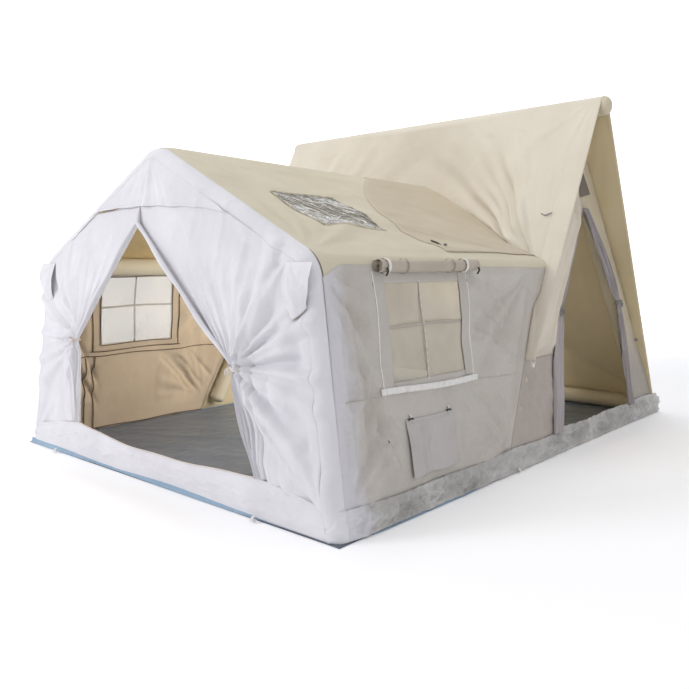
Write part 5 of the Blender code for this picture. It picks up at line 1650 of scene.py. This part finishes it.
ZIP_YS = (-1.86, -0.93)
ZIP_TOP = 1.47
POST_Y, BAR_Z, NET_EDGE = -1.43, 1.13, 0.02
START_Y, END_Y, SILL_Z, HEAD_Z = WINDOW
ALONG = (0, 1, 0)
for side, side_name in SIDES:
    y, z = np.meshgrid(np.linspace(START_Y - NET_EDGE, END_Y + NET_EDGE, 60),
                       np.linspace(SILL_Z - NET_EDGE, HEAD_Z + NET_EDGE, 50))
    hang_y, hang_z = (np.sin(s * math.pi).clip(0) for s in ((y - START_Y) / 0.75, (z - SILL_Z) / 0.59))
    cloth(f"window_net_{side_name}", on_wall(side, y, z, -0.006 - 0.014 * hang_y * hang_z), net_cloth,
          "screen_net", OUT[side], [f"window_screen_{side_name}"], rests_on=[f"wall_{side_name}"],
          thick=0.0006)
    # The left window's cross uses the dark brown piping cloth where the right has pale tape: painted
    # shade, as the left cross is seen dark against the light from inside.
    tape, post_width = (cross_tape, 0.010) if side > 0 else (piping_cloth, 0.018)
    cross = {"slot": "cross_webbing", "replaces": [f"window_cross_{side_name}"]}
    lean = unit(points(-(WALL_FOOT - EAVE_HALF) * side, 0, EAVE_HEIGHT))
    z = line((0, 0, SILL_Z), (0, 0, HEAD_Z))[:, 2]
    y = POST_Y + 0.004 * np.sin(z * 9)
    # White stitches down the right window's post stand for a dotted line of reflected light there: a
    # painted highlight.
    if side > 0:
        path = on_wall(side, y, z, -0.006) + points(side * 0.007, 0, 0)
        stitch_row("window_highlight_stitches_right", path, 0.046, 0.026, 0.0036, white_tape)
    wall_tape(f"window_post_{side_name}", side, y, z, -0.006, post_width, ALONG, tape, **cross)
    y = line((0, START_Y, 0), (0, END_Y, 0))[:, 1]
    z = BAR_Z + 0.004 * np.sin(y * 8)
    wall_tape(f"window_bar_{side_name}", side, y, z, -0.005, 0.018, lean, tape, **cross)
    z = np.linspace(0.72, ZIP_TOP, 60)
    for index, y in enumerate(ZIP_YS):
        y = y + 0.005 * np.sin(z * 11 + index)
        wall_tape(f"zip_{side_name}_{index}", side, y, z, 0.0035, 0.009, ALONG, white_tape, thick=0.003)
    y = np.linspace(ZIP_YS[0] - 0.03, ZIP_YS[1] + 0.05, 90)
    z = 0.752 + 0.006 * np.sin(y * 6) - 0.016 * (y - ZIP_YS[0])
    wall_tape(f"sill_tape_{side_name}", side, y, z, 0.008, 0.042, lean, white_tape, wave=0.011)
    for index, (a, b) in enumerate(((ZIP_YS[0], START_Y + 0.004), (END_Y - 0.004, ZIP_YS[1]))):
        y, z = np.meshgrid(np.linspace(a, b, 12), np.linspace(0.76, ZIP_TOP, 70))
        bulge = 0.004 * crumple(y, z, 0.14, 201 + index, angle=1.2, stretch=2)
        lift = np.maximum(0.003 + bulge * np.sin((y - a) / (b - a) * math.pi), 0.001)
        cloth(f"window_border_{side_name}_{index}", on_wall(side, y, z, lift), border_cloth,
              "side_canvas", OUT[side], declare=False)

# %% [markdown]
# Each blind is one rolled cloth: its section is a loose spiral that bulges between the bands.

# %% Blinds
ROLL_RADIUS = 0.042
# Each row: where along the wall, of what, and how wide.
BLIND_BANDS = (
    (-1.79, white_tape, 0.026), (-1.02, white_tape, 0.026),
    (-1.62, grey_tape, 0.006), (-1.16, grey_tape, 0.006),
)
for side, side_name in SIDES:
    y = np.linspace(-1.85, -0.87, 110)
    turn = np.linspace(0, math.tau * 3.15, 150)[:, None]
    uneven_roll = 1 + 0.06 * crumple(y[None], turn * 0.04, 0.12, 211)
    radius = mix(ROLL_RADIUS, 0.012, turn / turn[-1]) * uneven_roll
    bands = bell(y, -1.70, 0.012) + bell(y, -1.02, 0.012)
    radius = radius * (1 - 0.08 * bands)[None]
    sag = ROLL_RADIUS * 0.15 * np.sin((y + 1.85) / 0.98 * math.pi)
    middle = wall_point(side, y, 1.492 - sag, 0.044)
    out = unit(points(side * EAVE_HEIGHT, 0, WALL_FOOT - EAVE_HALF))
    up = np.cross(out, (0, 1, 0)) * side
    angle = turn + 2.2
    spoke = out * np.cos(angle)[..., None] + up * np.sin(angle)[..., None]
    grid = middle[None] + spoke * radius[..., None]
    cloth(f"blind_cloth_{side_name}", grid, blind_cloth, "side_canvas", OUT[side],
          [f"blind_roll_{side_name}"], declare=False, thick=0.0012)
    for index, (place, material, width) in enumerate(BLIND_BANDS):
        turn = np.linspace(0, math.tau, 40)
        at = wall_point(side, np.array(place), np.array(1.487), 0.044)
        ring = at + (out * np.cos(turn)[:, None] + up * np.sin(turn)[:, None]) * 0.0455
        ribbon(f"blind_band_{side_name}_{index}", ring, width, ALONG, material, "side_canvas",
               toward=(0.01, 1, 0))
print("windows and blinds done")

# %% [markdown]
# ## Flaps that move
# The port flap and the two valve flaps hang from their top edges. Each rides its own body, so that
# it swings on the joint that was packed for it.

# %% Port flap
y, z = np.meshgrid(np.linspace(-1.70, -1.22, 90), np.linspace(0.57, 0.22, 80))
across, fall = (y + 1.70) / 0.48, (0.57 - z) / 0.35
height = 0.006 + 0.008 * smooth(fall * 3) + 0.012 * fall
height += 0.014 * bell(across, 0.30, 0.035) * smooth(fall * 4)
height -= 0.006 * bell(across, 0.37, 0.03) * smooth(fall * 4)
soft = 0.007 * crumple(y, z, 0.16, 223, angle=1.45, stretch=4.0)
height += soft * smooth(fall * 3) * np.sin(across * math.pi)
height -= 0.005 * bell(fall, 0.04, 0.03) * (np.abs(across - 0.5) < 0.40)
z = z - 0.008 * np.sin(across * math.pi) * smooth(1 - fall * 3) - 0.008 * fall * np.cos(across * 9)
cloth("port_flap_cloth", on_wall(1, y, z, np.maximum(height, 0.0036)), port_cloth, "front_canvas",
      OUT[1], ["port_flap"], body="port_flap", held="hung", rests_on=["wall_right"])
for index, place in enumerate((-1.655, -1.265)):
    across = [place - 0.022, place, place + 0.022]
    path = on_wall(1, across, [0.566, 0.572, 0.566], [0.010, 0.014, 0.010])
    tube(f"port_toggle_{index}", path, 0.0055, dark_cord, "tie_webbing", around=14)
    across = [place, place + 0.004, place - 0.002]
    path = rounded(on_wall(1, across, [0.60, 0.585, 0.572], [0.004, 0.012, 0.012]), 0.006, 0.004)
    ribbon(f"port_tab_{index}", path, 0.016, ALONG, white_tape, "tie_webbing")

# %% [markdown]
# The valve flaps hang from a seam on the front and round out over the valves.

# %% Valve flaps
for side, side_name in SIDES:
    t, fall = np.meshgrid(np.linspace(0, 1, 70), np.linspace(0, 1, 90))
    narrow = 1 - 0.30 * smooth((fall - 0.35) / 0.65)
    x = mix(1.34, 1.55, 0.42 + (t - 0.42) * narrow)
    z = mix(1.52, 1.21, fall) - 0.31 * 0.08 * fall * np.cos(math.pi * t)
    z = z + 0.05 * fall**3 * (np.abs(t - 0.55) * 2) ** 2
    lift = 0.0045 + 0.040 * np.sin(math.pi * fall**0.85) * (0.75 + 0.25 * np.sin(math.pi * t))
    tuck = smooth((fall - 0.82) / 0.18)
    lift = lift + 0.012 * tuck * np.sin(math.pi * t)
    lift += 0.012 * smooth((fall - 0.2) / 0.5) * (1 - np.abs(t - 0.5) * 1.4)
    lift += 0.006 * fan(x, z, (1.36, 1.52), 0.16, 9, 231, toward=-1.2, spread=0.9)
    lift += 0.004 * crumple(x, z, 0.12, 232 + side, angle=1.1, stretch=2.0) * smooth(fall * 4)
    grid = front_point(side * x, z, np.maximum(lift, 0.003))
    cover = f"valve_cover_{side_name}"
    cloth(f"valve_flap_{side_name}", grid, front_cloth, "front_canvas", (0, -1, 0), [cover],
          body=cover, held="hung", rests_on=[f"front_curtain_{side_name}"])
    hem = tube(f"valve_flap_hem_{side_name}", grid[-1], 0.003, hem_cloth, None, around=10)
    finish_piece(hem, (), cover)

# %% [markdown]
# Each side door half is tied back at mid height with a narrow strap and a knot.

# %% Side door ties
for name, _, tie, away in DOOR_SIDES:
    y = tie + away * np.linspace(-0.030, 0.062, 30)
    bulge = 0.024 + 0.021 + 0.006 * np.sin(np.linspace(0, math.pi, 30))
    bulge[[0, -1]] = 0.008
    path = gable_point(1, y, DOOR_TIE_Z + 0.004 * np.sin(y * 40), bulge)
    ribbon(f"side_tie_{name}", path, 0.028, (-0.11, 0, 1), grey_tape, "tie_webbing",
           [f"side_tie_back_{name}"])
    middle = gable_point(1, tie + away * 0.015, DOOR_TIE_Z, 0.050)
    for index, (swing, drop) in enumerate(((-0.025, 0.060), (0.018, 0.045))):
        path = [middle, middle + (0.012, swing * 0.5, -drop * 0.3), middle + (0.006, swing, -drop)]
        cord(f"side_knot_{name}_{index}", path, 0.01, 0.0045, grey_tape)

print("side door tied at", DOOR_TIE_Z, "m")

# %% [markdown]
# ## Skylight
# A pane of clear film is sewn over the hole in the roof. It is loose, and its long creases glint with
# painted highlights. Its dark tint is painted shade, for the dark inside seen through it.

# %% Skylight
y, share = np.meshgrid(np.linspace(SKYLIGHT[0] - 0.015, SKYLIGHT[1] + 0.015, 130),
                       np.linspace(SKYLIGHT[2] - 0.01, SKYLIGHT[3] + 0.01, 110))
v = share * ROOF_SLANT
lift = 0.0045 + 0.004 * crumple(y * 1.0, v, 0.13, 241, angle=0.95, stretch=3.5, octaves=3)
lift += 0.003 * crumple(y, v, 0.05, 242, angle=0.75, stretch=4.0, octaves=2)
base = roof_wrinkles(1, y, share)
pane = roof_point(1, share, y, 0.0)
pane = push(pane, base + np.maximum(lift, 0.002), OUT[1])
cloth("skylight_pane", pane, film, "clear_film", OUT[1], ["skylight_film"],
      rests_on=["roof_right"], thick=0.0008)
out = unit(np.array(OUT[1], float))
for index, edge in enumerate((pane[0], pane[-1], pane[:, 0], pane[:, -1])):
    across = np.cross(unit(np.gradient(edge, axis=0)), out)
    ribbon(f"skylight_seam_{index}", edge + out * 0.0015, 0.012, across, seam_tape, "roof_canvas",
           toward=OUT[1], thick=0.001)

# %% [markdown]
# ## Loops and tabs
# Small tapes make the loops for the pegs, the loops on the roof and the tabs on the slope, and dark
# toggles hold the blinds. A dark cord by each roof loop is painted shade, for the gap under the fly's
# lifted corner.

# %% Loops and tabs
def loop(name, place, way, size, width, material, across):
    """A short tape folded into a loop that stands off a surface."""
    place, way = np.array(place, float), unit(np.array(way, float))
    turn = np.linspace(-0.15, 1.15, 26)[:, None] * math.pi
    side_way = unit(np.cross(way, across))
    path = place + way * (np.sin(turn) * size * 0.5 + size * 0.45)
    path = path + side_way * np.cos(turn) * size * 0.28
    return ribbon(name, path, width, across, material, "tie_webbing", toward=side_way, thick=0.0018)


# Each row: the place, the way out of the cloth and the way across the tape.
pegs = [((x, front_y(0.02) - 0.03, 0.030), (0.1, -1, -0.35), (1, 0, 0)) for x in (1.15, -1.26)]
for y, z, turned in ((-0.50, 0.028, -0.1), (2.30, 0.030, 0.2)):
    pegs += [((side * (WALL_FOOT + 0.010), y, z), (side, turned, -0.35), (0, 1, 0)) for side in (1, -1)]
pegs += [((x, TOWER_REAR + 0.004, 0.022), (0, 1, -0.3), (1, 0, 0)) for x in (1.2, -1.2)]
for index, (place, way, across) in enumerate(pegs):
    loop(f"peg_loop_{index}", place, way, 0.045, 0.022, white_tape, across)
for side, side_name in SIDES:
    loop(f"roof_loop_{side_name}", (side * 1.43, -0.90, 1.617), (side * 0.4, 0, 0.9), 0.030, 0.020,
         grey_tape, (0, 1, 0))
    # A near-black cord by each roof loop stands for the dark gap under the fly's lifted corner: painted
    # shade.
    path = np.array([(1.34, -0.935, 1.665), (1.38, -0.92, 1.648), (1.44, -0.90, 1.612)]) * (side, 1, 1)
    cord(f"roof_gap_shade_{side_name}", path, 0.01, 0.006, dark_cord, step=0.005)
    slope_z = 1.886
    slope_front = slope_y(slope_z) - 0.006
    path = np.array([(1.50, slope_front, slope_z + 0.02), (1.56, slope_front - 0.015, slope_z - 0.005),
                     (1.61, slope_front - 0.004, slope_z + 0.015)]) * (side, 1, 1)
    cord(f"slope_tab_{side_name}", path, 0.012, 0.005, grey_tape, step=0.005)
    loop(f"rear_loop_{side_name}", gable_point(side, 1.93, 0.76, 0.004), (side, 0.3, 0), 0.04, 0.022,
         grey_tape, (0, 0, 1))
    loop(f"strip_tab_{side_name}", (side * 1.762, slope_y(STRIP_FOOT) - 0.004, STRIP_FOOT - 0.01),
         (side * 0.5, -0.6, -0.5), 0.045, 0.030, white_tape, (0, 0.3, 1))
    for index, along in enumerate((-1.82, -0.90)):
        path_y = [along, along + 0.004, along - 0.004]
        at = on_wall(side, path_y, [1.47, 1.452, 1.425], [0.085, 0.090, 0.075])
        cord(f"blind_toggle_{side_name}_{index}", at, 0.006, 0.006, dark_cord, 12)

print(len(pegs), "peg loops, and the tabs and toggles of both sides")

# %% [markdown]
# The right end wall has a small grey vent near its top, and each side wall has a seam across it
# at the height of the window sill, with stitches along it.

# %% Vent and seams
WALL_SEAMS = (((-2.22, 0.742), (-1.90, 0.738)), ((-0.86, 0.722), (-0.34, 0.700)))
vent = [gable_point(1, y, z, 0.016) for y, z in ((0.93, 2.06), (1.15, 2.10), (0.985, 2.36))]
steps = np.linspace(0, 1, 14)
vent_grid = np.array([mix(mix(vent[0], vent[1], s), vent[2], steps[:, None]) for s in steps])
cloth("end_vent", vent_grid, vent_net, "side_canvas", OUT[1], declare=False)
for side, side_name in SIDES:
    for index, (a, b) in enumerate(WALL_SEAMS):
        y, z = np.linspace(a, b, 40).T
        wall_tape(f"wall_seam_{side_name}_{index}", side, y, z, 0.002, 0.009, (0, 0, 1), border_cloth)
        path = on_wall(side, y, z + 0.008, 0.0015)
        name = f"seam_stitches_{side_name}_{index}"
        stitch_row(name, path, 0.014, 0.009, 0.0007, hem_cloth)

print("one vent and two seams on each wall")

# %% [markdown]
# Inside, dark pipings run along the seams round the window and up the lower wall.

# %% Pipings inside
LINING_Z = 0.735
near_y, far_y, low_z, top_z = START_Y - 0.01, END_Y + 0.01, SILL_Z - 0.01, HEAD_Z + 0.01
# Each row: where a piping starts and where it ends, in y and z.
PIPINGS = (
    ((ZIP_YS[0], LINING_Z), (ZIP_YS[0], ZIP_TOP)), ((ZIP_YS[1], LINING_Z), (ZIP_YS[1], ZIP_TOP)),
    ((-1.88, LINING_Z), (-0.91, LINING_Z)), ((-2.10, 0.70), (-0.42, 0.68)),
    ((-1.92, 0.02), (-1.92, 0.69)), ((-1.83, 0.02), (-1.83, 0.69)),
    ((near_y, low_z), (near_y, HEAD_Z)), ((far_y, low_z), (far_y, HEAD_Z)),
    ((near_y, low_z), (far_y, low_z)), ((near_y, top_z), (far_y, top_z)),
    ((-2.24, 0.02), (-0.61, 0.02)),
)


def inside_wall(side, y, z, lift=0.010):
    """A point that stands in from the wall's inner side."""
    return on_wall(side, y, z, -lift)


for side, side_name in SIDES:
    for index, (a, b) in enumerate(PIPINGS):
        flat = line((*a, 0), (*b, 0), 0.03)
        wave = 0.005 * np.sin(flat[:, 0] * 9 + flat[:, 1] * 7 + index)
        path = inside_wall(side, flat[:, 0] + wave * 0.6, flat[:, 1] + wave)
        tube(f"piping_{side_name}_{index}", path, 0.0045, piping_cloth, "side_canvas", around=8)
    y, z = np.meshgrid(np.linspace(*ZIP_YS, 30), np.linspace(LINING_Z, 0.79, 5))
    lining = inside_wall(side, y, z, 0.008)
    cloth(f"sill_lining_{side_name}", lining, wall_lining, "side_canvas", (-side, 0, 0), declare=False)

print(len(PIPINGS), "pipings on each wall")

# %% [markdown]
# ## Hard parts
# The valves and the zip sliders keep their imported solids, in moulded plastic and in metal.

# %% Hard parts
HARD_LOOKS = {"valve_body": black_plastic, "valve_cap": black_plastic, "valve_pin": white_plastic,
              "zip_slider": grey_metal}
for name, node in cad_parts.items():
    if node.hide_render:
        continue
    look = next((look for start, look in HARD_LOOKS.items() if name.startswith(start)), None)
    if look:
        node.material_slots[0].material = look
    print(name, "shown in", look.name if look else "its packed look")

# %% [markdown]
# ## Floor and finish
# A pale floor runs back and curves up into a pale wall far behind the tent.

# %% Floor and finish
FAR, BEND_RADIUS, TALL, BROAD = 13.0, 5.0, 16.0, 60.0
back_way = unit(np.array([-math.sin(YAW), math.cos(YAW), 0.0]))
side_way = np.cross(back_way, (0, 0, 1))
profile = [(-BROAD, 0.0), (-6.0, 0.0), (0.0, 0.0), (6.0, 0.0)]
for angle in np.linspace(0, math.pi / 2, 16):
    profile.append((FAR + BEND_RADIUS * math.sin(angle), BEND_RADIUS * (1 - math.cos(angle))))
profile.append((FAR + BEND_RADIUS, TALL))
ends = (-BROAD, BROAD)
grid = np.array([
    [back_way * d + side_way * s + np.array([0, 0, h - 0.001]) for s in ends] for d, h in profile
])
faces = [(2 * i, 2 * i + 1, 2 * i + 3, 2 * i + 2) for i in range(len(profile) - 1)]
paint, output, place, _ = blank("studio_paint")
x, y, z = place.parts()
distance = x * float(back_way[0]) + y * float(back_way[1]) + z * 0.8
glow = distance.ramp(1.0, 13.0).blend((0.12, 0.12, 0.12), (0.55, 0.55, 0.56))
surface = place.node("ShaderNodeBsdfPrincipled", {
    "Base Color": place.noise(0.7).blend(linear(243, 243, 244), linear(247, 247, 248)),
    "Roughness": 0.75, "Emission Color": glow, "Emission Strength": 1.0,
})
shade(paint, surface, output)
floor = mesh_object("studio_floor", grid.reshape(-1, 3), faces, paint)
